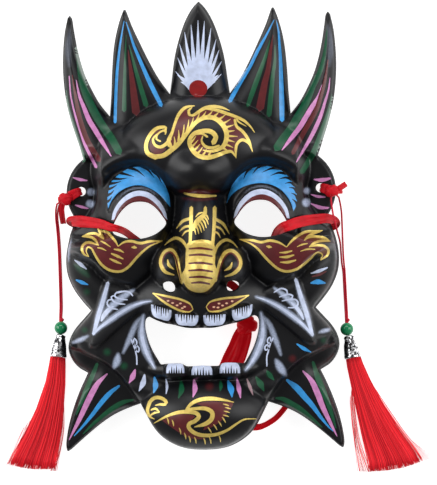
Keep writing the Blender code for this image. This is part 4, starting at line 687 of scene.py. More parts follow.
# Soft strokes, most of them airbrushed paint and some painted highlights and sheen on lit edges and creases:
# colour, points, width, softness, strength
SOFT = [
    ("grey", [(107.8, 283), (103, 300.4), (98.2, 316), (93.4, 334)], 5.5, 3, 0.8),
    ("grey", [(93.4, 334), (99.4, 328), (109, 320.8), (121, 312.4), (133, 305.8), (143.8, 302.2),
              (151, 301.2)], 5.8, 3, 0.8),
    ("grey", [(102, 319.6), (109, 309), (119, 300), (134, 289.6)], 6.4, 2.4, 0.9),
    ("grey", [(295.8, 279.4), (300.6, 295.6), (306.6, 313.6), (312.4, 335)], 5.5, 3, 0.8),
    ("grey", [(312.4, 335), (303, 324.8), (291, 315), (279, 306.6), (267, 300.6), (256, 296.8)], 5.8, 3,
     0.8),
    ("grey", [(302.6, 318), (296.6, 307.4), (286, 297), (274, 287.8)], 5.6, 2.4, 0.9),
    ("grey", [(143.4, 315), (141.9, 325.7), (141.9, 335.9), (144.5, 347.1), (148.6, 357.3), (154.5, 368)],
     7.5, 3, 0.8),
    ("grey", [(261, 312.6), (262.9, 325.7), (261.8, 339), (256.7, 353.3), (250.4, 364), (245.4, 370.4)], 7.5,
     3, 0.8),
    ("green", [(75, 265), (82, 270), (88, 276)], 6, 5, 0.7), ("green", [(85, 290), (88, 294)], 6, 5, 0.5),
    # Painted highlight on the left jaw lobe's ridge
    ("white", [(72, 343), (80, 340), (88, 336)], 4, 2.4, 0.8),
        ("green", [(104, 350), (110, 354)], 6, 5, 0.7),
    ("green", [(121, 364), (127, 368)], 6, 5, 0.7), ("green", [(82, 329), (87, 331)], 5, 4, 0.6),
    # Painted highlight on the right jaw lobe's ridge
    ("white", [(319, 332.4), (325, 330.6), (331, 329)], 3.6, 2.4, 0.8),
        ("green", [(321, 339), (326, 341)], 5, 4, 0.6),
    ("green", [(266, 373), (272, 376)], 5, 4, 0.6), ("maroon", [(290, 357), (295, 360)], 6, 5, 0.7),
    ("maroon", [(207, 386), (212, 387)], 7, 5, 0.6),
    ("grey", [(118, 354), (117, 361), (113.6, 368)], 6.4, 3, 0.85),
        ("grey", [(276, 360), (280, 367), (285.6, 375)], 7, 3, 0.85),
    ("grey", [(143, 316), (137, 322), (129, 340), (123, 353)], 5, 2.6, 0.75),
    ("grey", [(261, 315), (268, 322), (275, 338), (281, 355)], 5, 2.6, 0.75),
    # Painted highlights: the lit side walls at the cheeks' outer edges
    ("grey", [(68.6, 262), (68.6, 250), (71, 240)], 2.6, 2, 0.55),
        ("grey", [(338.6, 263), (338, 250), (335.4, 238)], 3.4, 2, 0.55),
    # Painted sheen along the outer horns' outer edges
    ("grey", [(69, 66), (68, 50), (70, 30)], 5, 4, 0.16),
        ("grey", [(329, 66), (331, 46), (328, 26)], 6, 4, 0.16),
    ("grey", [(90.4, 192), (91, 192)], 7, 2.6, 0.85),
        ("grey", [(89.6, 203.8), (90.2, 203.8)], 7.6, 2.6, 0.85),
    ("grey", [(306.6, 190.8), (307.2, 190.8)], 6, 2.6, 0.85),
        ("grey", [(306, 202.6), (306.6, 202.6)], 8, 2.6, 0.85),
    ("maroon", [(179, 191), (188, 191.6), (205, 192), (219, 191)], 5, 2.4, 0.6),
        ("maroon", [(182, 198.4), (200, 199.4), (217, 198.4)], 3, 2, 0.6),
    # Painted highlight along each lid's crease under the brow
    ("grey", [(117, 200), (122, 194.6), (129, 190), (138, 187.8), (148, 189.4), (157, 195)], 1.6, 1.6, 0.35),
    ("grey", [(244, 193), (252, 187.8), (262, 186), (271, 188.2), (278, 192.8), (283, 198.6)], 1.6, 1.6,
     0.35),
]
COLOURS = {
    "gold": (226, 198, 104), "maroon": (88, 22, 26), "red": (128, 6, 8), "blue": (52, 146, 214),
           "white": (190, 200, 226),
    "pink": (202, 132, 186), "rose": (150, 120, 128), "green": (10, 78, 48), "grey": (176, 188, 214),
           "black": (14, 14, 17),
    "peach": (232, 184, 150),
}


def look_down():
    """The camera, which also gives the way from the photo's pixels to the mask."""
    data = bpy.data.cameras.new("camera")
    data.sensor_fit = "HORIZONTAL"
    data.sensor_width = 36.0
    data.lens = 36.0 * CAMERA_DISTANCE / (PIXEL * PHOTO_WIDTH)
    data.clip_end = 20
    camera = bpy.data.objects.new("camera", data)
    bpy.context.scene.collection.objects.link(camera)
    away = Vector((math.sin(CAMERA_YAW), 0, math.cos(CAMERA_YAW)))
    side = Vector((math.sin(CAMERA_ROLL), math.cos(CAMERA_ROLL), 0)).cross(away).normalized()
    up = away.cross(side)
    turn = Matrix((side, up, away)).transposed().to_4x4()
    camera.matrix_world = Matrix.Translation((Vector((*AIM, 0)) + away * CAMERA_DISTANCE) / 1000) @ turn
    bpy.context.scene.camera = camera


def on_floor(points):
    """Points of the photo as millimetres on the plane that the mask lies on."""
    points = np.asarray(points, float)
    across, up = points[:, 0] - MIDDLE[0], MIDDLE[1] - points[:, 1]
    c, s = math.cos(CAMERA_ROLL), math.sin(CAMERA_ROLL)
    return PIXEL * np.stack([across * c + up * s, up * c - across * s], 1)


def on_mask(points):
    """Points of the photo as millimetres on the mask's front, along the camera's line of sight."""
    flat = on_floor(points)
    eye = np.array([AIM[0] + CAMERA_DISTANCE * math.sin(CAMERA_YAW), AIM[1]])
    at = flat
    for _ in range(4):
        at = flat + (eye - flat) * (height(at[:, 0], at[:, 1]) / CAMERA_DISTANCE)[:, None]
    return at


def linear(colour):
    """A named colour, or one given as bytes, in the renderer's own values."""
    value = np.array(COLOURS[colour] if isinstance(colour, str) else colour, float) / 255
    return np.where(value <= 0.04045, value / 12.92, ((value + 0.055) / 1.055) ** 2.4)


def bell(widths):
    """Widths at 33 even places, rounded where they change, so that a stroke has no corners."""
    places = np.linspace(0, 1, 33)
    even = np.interp(places, np.linspace(0, 1, len(widths)), widths)
    for _ in range(6):
        even[1:-1] = (even[:-2] + 2 * even[1:-1] + even[2:]) / 4
    return even


def stroke(points, widths):
    """The outline of a brush stroke, with its widths spread evenly from one end to the other."""
    line = smooth(points, 2.0)
    along = np.concatenate([[0], np.cumsum(np.linalg.norm(np.diff(line, axis=0), axis=1))])
    half = np.interp(along / along[-1], np.linspace(0, 1, 33), bell(widths)) / 2
    ahead = np.gradient(line, axis=0)
    ahead /= np.maximum(np.linalg.norm(ahead, axis=1), 1e-9)[:, None]
    side = np.stack([-ahead[:, 1], ahead[:, 0]], 1) * half[:, None]
    tip = line[-1] + ahead[-1] * half[-1]
    start = line[0] - ahead[0] * half[0]
    return np.concatenate([[start], line + side, [tip], (line - side)[::-1]])


def area(rows):
    return np.concatenate([smooth(row, 2.0)[:-1] for row in rows])


def edged(fill, rows, width):
    """An area with a gold line along each of its smooth stretches, thin at the corners."""
    items = [(fill, area(rows))]
    for row in rows:
        items.append(("gold", stroke(row, (0.8, width, width, width, 0.8))))
    return items


def tooth_paint(low, high, lean, hairs, upper):
    """The white of a tooth and the dark hairs that run into it from the gum."""
    (x0, y0), (x1, y1) = low, high
    wide, tall = x1 - x0, y1 - y0
    middle = (x0 + x1) / 2
    curve = [(x0, y0 + 0.1 * tall), (x0 + 0.02 * wide, y0 + 0.6 * tall),
             (x0 + 0.14 * wide, y1 - 0.06 * tall), (middle, y1), (x1 - 0.14 * wide, y1 - 0.06 * tall),
             (x1 - 0.02 * wide, y0 + 0.6 * tall), (x1, y0 + 0.1 * tall)]
    if not upper:
        curve = [(u, y0 + y1 - v) for u, v in curve]
    curve = [(u, v + lean * (u - middle)) for u, v in curve]
    items = [("white", area([curve, [curve[-1], curve[0]]]))]
    for i in range(hairs):
        share = (i + 0.5) / hairs
        u = x0 + wide * (0.1 + 0.8 * share)
        deep = tall * (0.78 if i % 2 else 0.56) * (0.6 + 0.4 * math.sin(math.pi * share))
        start, end = (y0 - 0.4, y0 + deep) if upper else (y1 + 0.4, y1 - deep)
        lift = lean * (u - middle)
        items.append(("black", stroke([(u, start + lift), (u, (start + end) / 2 + lift), (u, end + lift)],
                                      (2.2, 1.3, 0.3))))
    return items


def painted():
    """Every crisp area of paint, as (colour, closed line in the photo's pixels), the later ones on top."""
    items = []
    for tip, wide in zip(FAN, (3.4, 4, 4.6, 5, 5, 5, 5, 5, 5, 4.6, 4, 3.4)):
        root = (198 + (tip[0] - 198) * 0.16, 90)
        items.append(("white", stroke([root, ((tip[0] + root[0]) / 2 + (tip[0] - 198) * 0.06,
                                              (tip[1] + root[1]) / 2), tip],
                                      (wide + 1, wide + 1.6, wide * 0.8, wide * 0.5, 0.4))))
    for side in (-1, 1):
        for du, dv in ((-17, -6), (-20.5, -13)):
            items.append(("white", stroke([(198 + side * 6, 90), (198 - side * du * 0.6, 88 + dv * 0.5),
                                           (198 - side * du, 88 + dv)],
                                          (5, 4.6, 0.5))))
    ring = np.arange(24) / 24 * math.tau
    items.append(("red", np.stack([198.2 + 9.2 * np.cos(ring), 88.6 + 8.6 * np.sin(ring)], 1)))
    for rows in SCROLL_DARK + CHIN_DARK:
        items.append(("maroon", area(rows)))
    items += [("gold", stroke(line, wide)) for line, wide in SCROLL_GOLD]
    for rows in (FLAME_LEFT, FLAME_RIGHT):
        items += edged("maroon", rows, 2.6)
    for rows in (LEAF_LEFT, LEAF_RIGHT):
        items += edged("maroon", rows, 2.2)
    for u, v in ((168, 300.9), (172.6, 303), (177.1, 305.3), (180.4, 303.5), (182.2, 308.2), (184.5, 306.8),
                 (213.9, 307), (219, 303.5), (218, 307.5), (222.6, 305.5), (226.6, 303.3), (232.2, 301.2)):
        items.append(("peach", stroke([(u - 0.8, v), (u, v), (u + 0.8, v)], (1.5, 1.8, 1.5))))
    items += [("gold", stroke([root, ((root[0] + tip[0]) / 2 + 0.4, (root[1] + tip[1]) / 2), tip],
                              (2.4, 1.5, 0.4)))
              for root, tip in SCROLL_HAIRS]
    items += [("blue", area(BROW_LEFT)), ("blue", area(BROW_RIGHT))]
    items += [("black", stroke(line, (3.2, 2, 0.4))) for line in BROW_HAIRS]
    for shift, flip in ((0, 1), (401, -1)):
        eye = [[(shift + flip * u, v - (flip < 0) * 1.6) for u, v in row] for row in EYE_WHITE_LEFT]
        lid = [eye[1], [(shift + flip * u, v - (flip < 0) * 1.6) for u, v in EYE_RED_EDGE]]
        items += [("maroon", area(lid)), ("white", area(eye))]
    items.append(("gold", area(NOSE_BAR)))
    for v, half in ((248.8, 11.4), (255.2, 11.4), (263.4, 11.6), (270.6, 11.8), (277.4, 11.2), (283, 9)):
        items.append(("maroon", stroke([(200.6 - half, v), (200.6, v - 0.6), (200.6 + half, v + 1)],
                                       (1.6, 2.6, 1.8))))
    items += [(colour, stroke(points, widths)) for colour, points, widths in LINES]
    for low, high, lean in TEETH_TOP:
        items += tooth_paint(low, high, lean, 7, True)
    for low, high in TEETH_LOW:
        items += tooth_paint(low, high, 0.0, 6, False)
    return items


def steepness(x, y):
    step = 0.4
    across = height(x + step, y) - height(x - step, y)
    along = height(x, y + step) - height(x, y - step)
    return np.hypot(across, along) / step / 2


def inset(line, wide):
    """Points at a distance inside a closed line that runs clockwise, and which of them aren't crowded out."""
    before, after = line - np.roll(line, 1, 0), np.roll(line, -1, 0) - line
    before /= np.linalg.norm(before, axis=1)[:, None]
    after /= np.linalg.norm(after, axis=1)[:, None]
    normal = np.stack([(before + after)[:, 1], -(before + after)[:, 0]], 1)
    normal /= np.maximum(np.linalg.norm(normal, axis=1), 1e-9)[:, None]
    moved = line + normal * wide
    return moved, depth(EDGE, moved[:, 0], moved[:, 1]) > 0.86 * wide


def hole_lines(step):
    eye, nostril = smooth(EYE, step, True), smooth(NOSTRIL, step, True)
    half = smooth(MOUTH, step)
    turns = np.arange(24) / 24 * math.tau
    tie = np.array(EAR_HOLE) + HOLE_RADIUS * np.stack([np.cos(turns), np.sin(turns)], 1)
    return [eye, mirrored(eye), nostril, mirrored(nostril), tie, mirrored(tie),
            np.concatenate([half, mirrored(half)[-2:0:-1]])]


def tints(x, y):
    """The soft colour at each point, airbrushed paint and painted highlights and sheen on lit edges and
    creases: its red, green and blue, and how far it covers the black.
    """
    colour, cover = np.zeros((len(x), 3)), np.zeros(len(x))
    for name, points, wide, soft, strength in SOFT:
        if math.dist(points[0], points[-1]) < 2 * wide:
            turns = np.arange(20) / 20 * math.tau
            line = on_mask(np.mean(points, axis=0) + wide / 2 * np.stack([np.cos(turns), np.sin(turns)], 1))
        else:
            line = on_mask(stroke(points, (0.35 * wide, wide, wide, 0.35 * wide)))
        low, high = line.min(0) - 6, line.max(0) + 6
        near = (x > low[0]) & (x < high[0]) & (y > low[1]) & (y < high[1])
        share = strength * ease(depth(line, x[near], y[near]) / (soft * PIXEL) + 0.5)
        before = cover[near]
        after = share + before * (1 - share)
        mixed = linear(name) * share[:, None] + colour[near] * (before * (1 - share))[:, None]
        colour[near] = mixed / np.maximum(after, 1e-6)[:, None]
        cover[near] = after
    return colour, cover


# Loose threads beside the tassels, in the photo's pixels, and the small knots over the beads, in millimetres
STRAYS = {
    "left": [([(62, 380), (61.6, 420), (57, 448), (50, 471)], [(64, 396), (64, 430), (60.6, 452), (57, 471)],
              16),
             ([(30, 420), (22, 446), (12, 467)], [(22, 430), (10, 452), (3.6, 464)], 7)],
    "right": [([(353, 380), (355, 410), (360, 440), (372, 472)],
               [(350, 400), (352, 424), (354.6, 448), (357.6, 471)], 20),
              ([(380, 396), (396, 420), (411, 441), (425, 461)],
               [(372, 384), (388, 408), (410, 438), (434, 456)], 8)],
}
CUT_ENDS = {"left": (1, -0.1), "right": (1, 0.17)}
CORD_KNOTS = {"left": (-90.7, -58.9, 3.4), "right": (92, -61.8, 3.4)}
CORD_KNOT_RADII = (1.7, 1.5, 1.2)

# Spacing of points on the shell, ribbons and cords, the strands' shift, and the threads of a tassel
SHELL_STEP = 1.15
BAND_STEP = 1.6
CORD_STEP = 2.4
STRAND_SHIFT = 0.25
THREADS = 420
# The darker red of a tassel's heart: painted shade in the gaps between its threads
HEART_SHADE_TONE = 0.3
PAINT_NAMES = ("gold", "maroon", "red", "blue", "white", "pink", "rose", "green", "black", "peach")


def shell():
    """The mask's shell at full detail, with the paint's edges cut into its net."""
    outline = whole_outline(1.8)
    holes = hole_lines(1.6)
    drawn = painted()
    every_point = on_mask(np.concatenate([line for _, line in drawn]))
    ends = np.cumsum([len(line) for _, line in drawn])[:-1]
    items = [(name, line) for (name, _), line in zip(drawn, np.split(every_point, ends))]
    points, edges, kind = [], [], []

    def add(line, tag, kept=None, closed=True):
        kept = np.ones(len(line), bool) if kept is None else kept
        number = len(points) + np.cumsum(kept) - 1
        points.extend(line[kept])
        kind.extend([tag] * int(kept.sum()))
        for i in range(len(line) if closed else len(line) - 1):
            j = (i + 1) % len(line)
            if kept[i] and kept[j]:
                edges.append((number[i], number[j]))

    add(outline, "outline")
    for wide, tag in ((WALL, "lip"), (2.6, "shoulder")):
        line, kept = inset(outline, wide)
        add(line, tag, kept)
    for line in holes:
        add(line, "hole")
    for name, line in items:
        clear = depth(EDGE, line[:, 0], line[:, 1]) > WALL + 0.3
        add(line, "paint", clear)
    tree = kdtree.KDTree(len(points))
    for i, (a, b) in enumerate(points):
        tree.insert((a, b, 0), i)
    tree.balance()
    rise = SHELL_STEP * math.sqrt(3) / 2
    rows = np.arange(-144, 144, rise)
    field = np.array([(x + (i % 2) * SHELL_STEP / 2, y) for i,
                      y in enumerate(rows) for x in np.arange(-90, 90, SHELL_STEP)])
    field = field[depth(EDGE, field[:, 0], field[:, 1]) > 3.0]
    field = field[~np.any([inside(h, field[:, 0], field[:, 1]) for h in holes], axis=0)]
    field = [p for p in field if tree.find((p[0], p[1], 0))[2] > 0.5 * SHELL_STEP]
    points.extend(field)
    kind.extend(["field"] * len(field))
    flat, _, faces, from_points, _, _ = geometry.delaunay_2d_cdt(
        [Vector((float(a), float(b))) for a, b in points], edges, [], 0, 1e-4)
    xy = np.array([tuple(v) for v in flat])
    tags = [{kind[i] for i in found} for found in from_points]
    at_edge = np.array(["outline" in t for t in tags])
    at_lip = np.array(["lip" in t for t in tags])
    faces = np.array([f for f in faces if len(f) == 3])
    middle = xy[faces].mean(axis=1)
    kept = inside(outline, middle[:, 0], middle[:, 1]) & ~at_edge[faces].all(axis=1)
    for hole in holes:
        kept &= ~inside(hole, middle[:, 0], middle[:, 1])
    faces, middle = faces[kept], middle[kept]
    used, faces = np.unique(faces, return_inverse=True)
    faces = faces.reshape(-1, 3)
    xy, at_edge, at_lip = xy[used], at_edge[used], at_lip[used]
    x, y = xy[:, 0], xy[:, 1]
    edge_height = rim(x, y)
    front = np.where(at_edge, edge_height, height(x, y))
    back = np.maximum(front - WALL * np.minimum(np.sqrt(1 + steepness(x, y) ** 2), 3.0), edge_height)
    back = np.where(at_edge | at_lip, edge_height, back)

    count = len(x)
    under = np.where(at_edge, np.arange(count), count + np.cumsum(~at_edge) - 1)
    verts = np.concatenate([np.stack([x, y, front], 1), np.stack([x, y, back], 1)[~at_edge]]) / 1000
    sides = {(int(a), int(b)) for face in faces for a, b in zip(face, np.roll(face, -1))}
    joints = [(b, a, int(under[a]), int(under[b])) for a, b in sides
              if (b, a) not in sides and not (at_edge[a] and at_edge[b])]
    every = [tuple(f) for f in faces.tolist()] + [tuple(f) for f in under[faces][:, ::-1].tolist()] + joints
    mesh = bpy.data.meshes.new("shell")
    mesh.from_pydata(verts.tolist(), [], every)
    made = bpy.data.objects.new("painted_shell", mesh)
    bpy.context.scene.collection.objects.link(made)

    finish = np.zeros(len(every), np.int32)
    finish[:len(faces)] = np.where(depth(EDGE, middle[:, 0], middle[:, 1]) < WALL, 1 + len(PAINT_NAMES), 0)
    for name, line in items:
        low, high = line.min(0), line.max(0)
        near = np.nonzero(((middle >= low) & (middle <= high)).all(axis=1))[0]
        hit = near[inside(line, middle[near, 0], middle[near, 1])]
        finish[hit] = 0 if name == "black" else 1 + PAINT_NAMES.index(name)
    # Soft colour over the black: airbrushed paint, and painted highlights and sheen on lit edges and creases
    colour, cover = tints(x, y)
    whole = np.zeros((len(verts), 4), np.float32)
    whole[:count, :3], whole[:count, 3] = colour, cover
    tint = mesh.attributes.new("tint", "FLOAT_COLOR", "POINT")
    tint.data.foreach_set("color", whole.ravel())
    mesh.materials.append(black_plastic("black_plastic", "tint"))
    for name in PAINT_NAMES:
        mesh.materials.append(gold_paint() if name == "gold" else flat_paint(name))
    mesh.materials.append(new_material("black_edge", linear("black"), 0.6, 0.0, 0.06)[0])
    mesh.polygons.foreach_set("material_index", finish)
    mesh.shade_smooth()
    mesh.update()
    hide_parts("mask_shell")
    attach(made, "root")
    return made


def new_material(name, colour, roughness, metallic=0.0, specular=0.5):
    """A Principled material; returns it with its node tree and shader."""
    made = bpy.data.materials.new(name)
    made.use_nodes = True
    shader = made.node_tree.nodes["Principled BSDF"]
    shader.inputs["Base Color"].default_value = (*colour, 1)
    shader.inputs["Roughness"].default_value = roughness
    shader.inputs["Metallic"].default_value = metallic
    shader.inputs["Specular IOR Level"].default_value = specular
    return made, made.node_tree, shader


def speckle(tree, scale, detail=3.0):
    noise = tree.nodes.new("ShaderNodeTexNoise")
    noise.inputs["Scale"].default_value = scale
    noise.inputs["Detail"].default_value = detail
    where = tree.nodes.new("ShaderNodeTexCoord")
    tree.links.new(where.outputs["Object"], noise.inputs["Vector"])
    return noise.outputs["Fac"]


def spread(tree, value, low, high, to_low, to_high):
    node = tree.nodes.new("ShaderNodeMapRange")
    for socket, number in (("From Min", low), ("From Max", high), ("To Min", to_low), ("To Max", to_high)):
        node.inputs[socket].default_value = number
    tree.links.new(value, node.inputs["Value"])
    return node.outputs["Result"]


def two_tones(tree, factor, first, second):
    mix = tree.nodes.new("ShaderNodeMix")
    mix.data_type = "RGBA"
    tree.links.new(factor, mix.inputs[0])
    for socket, colour in ((6, first), (7, second)):
        if hasattr(colour, "links"):
            tree.links.new(colour, mix.inputs[socket])
        else:
            mix.inputs[socket].default_value = (*colour, 1)
    return mix.outputs[2]


def black_plastic(name, attribute):
    made, tree, shader = new_material(name, linear("black"), 0.36, 0.0, 0.3)
    # The soft strokes' colour over the black: airbrushed paint, and painted highlights and sheen
    tint = tree.nodes.new("ShaderNodeAttribute")
    tint.attribute_name = attribute
    grain = spread(tree, speckle(tree, 900.0), 0.3, 0.6, 0.7, 1.0)
    cover = tree.nodes.new("ShaderNodeMath")
    cover.operation = "MULTIPLY"
    tree.links.new(tint.outputs["Alpha"], cover.inputs[0])
    tree.links.new(grain, cover.inputs[1])
    tree.links.new(two_tones(tree, cover.outputs[0], linear("black"), tint.outputs["Color"]),
                   shader.inputs["Base Color"])
    tree.links.new(spread(tree, speckle(tree, 60.0), 0.3, 0.7, 0.33, 0.42), shader.inputs["Roughness"])
    return made


def flat_paint(name):
    colour = linear(name)
    made, tree, shader = new_material("paint_" + name, colour, 0.36)
    fade = spread(tree, speckle(tree, 260.0), 0.35, 0.65, 0.0, 1.0)
    tree.links.new(two_tones(tree, fade, colour * 0.86, np.minimum(colour * 1.1, 1)),
                   shader.inputs["Base Color"])
    return made


def gold_paint():
    colour = linear("gold")
    made, tree, shader = new_material("paint_gold", colour, 0.34, 0.35)
    fade = spread(tree, speckle(tree, 420.0), 0.32, 0.68, 0.0, 1.0)
    tree.links.new(two_tones(tree, fade, colour * 0.82, np.minimum(colour * 1.08, 1)),
                   shader.inputs["Base Color"])
    return made


def satin(name, glow):
    made, tree, shader = new_material(name, (0.55, 0.008, 0.018), 0.42, 0.0, 0.12)
    # A red glow: painted light on the satin
    shader.inputs["Emission Color"].default_value = (1, 0.002, 0.008, 1)
    shader.inputs["Emission Strength"].default_value = glow
    fade = spread(tree, speckle(tree, 140.0), 0.3, 0.7, 0.0, 1.0)
    tree.links.new(two_tones(tree, fade, (0.42, 0.005, 0.012), (0.58, 0.009, 0.018)),
                   shader.inputs["Base Color"])
    return made


def thread():
    made, tree, shader = new_material("red_thread", (0.8, 0.01, 0.02), 0.5, 0.0, 0.2)
    tone = tree.nodes.new("ShaderNodeAttribute")
    tone.attribute_name = "tone"
    tree.links.new(two_tones(tree, tone.outputs["Fac"], (0.3, 0.003, 0.01), (1, 0.03, 0.045)),
                   shader.inputs["Base Color"])
    # A faint red glow: painted light on the threads
    shader.inputs["Emission Color"].default_value = (1, 0.01, 0.025, 1)
    shader.inputs["Emission Strength"].default_value = 0.07
    return made


def object_from(name, verts, faces, finish):
    """A mesh object from points in millimetres."""
    mesh = bpy.data.meshes.new(name)
    mesh.from_pydata((np.asarray(verts, float) / 1000).tolist(), [], faces)
    mesh.materials.append(finish)
    mesh.shade_smooth()
    made = bpy.data.objects.new(name, mesh)
    bpy.context.scene.collection.objects.link(made)
    return made


def skin(rows, across):
    """The faces over rows of points, each row a closed ring, with a face at either end."""
    faces = [(i * across + j, i * across + (j + 1) % across, (i + 1) * across + (j + 1) % across,
              (i + 1) * across + j)
             for i in range(rows - 1) for j in range(across)]
    return faces + [tuple(range(across))[::-1], tuple(range((rows - 1) * across, rows * across))]


def route(points, spacing):
    """Points about the spacing apart on a smooth curve through a route's own points."""
    plan = np.asarray(points, float)
    plan = np.concatenate([2 * plan[:1] - plan[1:2], plan, 2 * plan[-1:] - plan[-2:-1]])
    out = []
    for a, b, c, d in zip(plan[:-3], plan[1:-2], plan[2:-1], plan[3:]):
        n = max(2, round(float(np.linalg.norm(c - b))))
        t = np.arange(n)[:, None] / n
        out.append(0.5 * (2 * b + (c - a) * t + (2 * a - 5 * b + 4 * c - d) * t ** 2
                          + (3 * b - a - 3 * c + d) * t ** 3))
    line = np.concatenate([*out, plan[-2:-1]])
    along = np.concatenate([[0], np.cumsum(np.linalg.norm(np.diff(line, axis=0), axis=1))])
    at = np.linspace(0, along[-1], max(4, round(along[-1] / spacing) + 1))
    return np.stack([np.interp(at, along, line[:, k]) for k in range(3)], 1)


def band(name, points, widths, finish, thick=0.5, fold=0.45, turn=0.0):
    """A satin ribbon along a route: level across, with lengthwise folds that wander from edge to edge."""
    line = route(points, BAND_STEP)
    ahead = np.gradient(line, axis=0)
    ahead /= np.linalg.norm(ahead, axis=1)[:, None]
    across = np.cross(ahead, (0, 0, 1))
    across /= np.maximum(np.linalg.norm(across, axis=1), 1e-6)[:, None]
    for i in range(1, len(across)):
        if across[i] @ across[i - 1] < 0:
            across[i] *= -1
    for _ in range(6):
        across[1:-1] = across[:-2] + 2 * across[1:-1] + across[2:]
        across -= (across * ahead).sum(1)[:, None] * ahead
        across /= np.linalg.norm(across, axis=1)[:, None]
    up = np.cross(across, ahead)
    share = np.linspace(0, 1, len(line))
    wide = np.interp(share, np.linspace(0, 1, len(widths)), widths)
    steps = np.linspace(-1, 1, 17)
    rows = []
    for i, place in enumerate(line):
        wander = turn + 1.4 * math.sin(3 + 0.05 * i) + 0.02 * i
        pleat = np.abs(np.sin(math.pi * steps * 0.9 + wander))
        pleat = pleat + 0.4 * np.abs(np.sin(math.pi * steps * 2.1 - 1.7 * wander))
        lift = fold * (pleat - 0.8)
        side = place + across[i] * (steps * wide[i] / 2)[:, None]
        top = side + up[i] * (lift + thick / 2)[:, None]
        low = side + up[i] * (0.4 * lift - thick / 2)[:, None]
        rows.append(np.concatenate([top, low[::-1]]))
    verts = np.array(rows)
    verts[..., 2] = np.maximum(verts[..., 2], 0.12)
    return object_from(name, verts.reshape(-1, 3), skin(len(line), verts.shape[1]), finish), line


def knot(name, centre, radii, wraps, finish):
    """A tied knot: a rounded lump with wraps round it, each with its axis, offset and half width."""
    around, down = 56, 36
    verts, faces = [], []
    for i in range(1, down):
        for j in range(around):
            a, b = j / around * math.tau, i / down * math.pi
            p = np.array([math.sin(b) * math.cos(a), math.sin(b) * math.sin(a), math.cos(b)])
            reach = 0.84
            for axis, offset, half in wraps:
                axis = np.array(axis, float) / np.linalg.norm(axis)
                away = p @ axis - offset
                pleat = 0.025 * abs(math.sin(4.5 * away / half))
                reach = max(reach, 0.84 + (0.16 - pleat) * float(ease((half - abs(away)) / 0.12)))
            verts.append(np.array(centre) + p * radii * reach)
    top, low = len(verts), len(verts) + 1
    verts += [np.array(centre) + np.array([0, 0, radii[2] * 0.9]),
              np.array(centre) - np.array([0, 0, radii[2] * 0.9])]
    for i in range(down - 2):
        for j in range(around):
            k = (j + 1) % around
            faces.append((i * around + j, (i + 1) * around + j, (i + 1) * around + k, i * around + k))
    for j in range(around):
        k = (j + 1) % around
        faces.append((top, j, k))
        faces.append((low, (down - 2) * around + k, (down - 2) * around + j))
    return object_from(name, verts, faces, finish)


def cord_curve(name, line, radius, finish):
    curve = bpy.data.curves.new(name, "CURVE")
    curve.dimensions = "3D"
    curve.bevel_depth = radius / 1000
    curve.bevel_resolution = 3
    curve.use_fill_caps = True
    spline = curve.splines.new("POLY")
    spline.points.add(len(line) - 1)
    for point, place in zip(spline.points, line):
        point.co = (*(place / 1000), 1)
    curve.materials.append(finish)
    made = bpy.data.objects.new(name, curve)
    bpy.context.scene.collection.objects.link(made)
    return made


def turned(name, profile, start, end, finish, sides=48, shape=None):
    """A profile of (radius, share of the length) turned round a line, with a shape laid on it."""
    start, end = np.array(start, float), np.array(end, float)
    along = (end - start) / np.linalg.norm(end - start)
    side = np.cross(along, (0, 0, 1))
    side /= np.linalg.norm(side)
    up = np.cross(side, along)
    turns = np.arange(sides) / sides * math.tau
    verts = []
    for radius, share in profile:
        reach = radius if shape is None else radius * shape(turns, share)
        ring = side * (np.cos(turns) * reach)[:, None] + up * (np.sin(turns) * reach)[:, None]
        verts.append(start + (end - start) * share + ring)
    return object_from(name, np.concatenate(verts), skin(len(profile), sides), finish)


def strand_mesh(lines, radii, tones, name, finish, sides=4):
    """Many thin threads as one mesh: each a line of points in millimetres, with its own shade."""
    verts, faces = [], []
    turns = np.arange(sides) / sides * math.tau + math.pi / sides
    for line, radius in zip(lines, radii):
        base = len(verts)
        for x, y, z in line:
            verts += [(x + radius * math.cos(t), y, max(0.12, z + radius * math.sin(t))) for t in turns]
        last = base + sides * (len(line) - 1)
        faces += [(i + q, i + (q + 1) % sides, i + sides + (q + 1) % sides, i + sides + q)
                  for i in range(base, last, sides) for q in range(sides)]
        faces.append(tuple(range(base, base + sides))[::-1])
        faces.append(tuple(range(last, last + sides)))
    made = object_from(name, verts, faces, finish)
    shade = [tone for tone, line in zip(tones, lines) for _ in range(sides * len(line))]
    made.data.attributes.new("tone", "FLOAT", "POINT").data.foreach_set("value", shade)
    return made


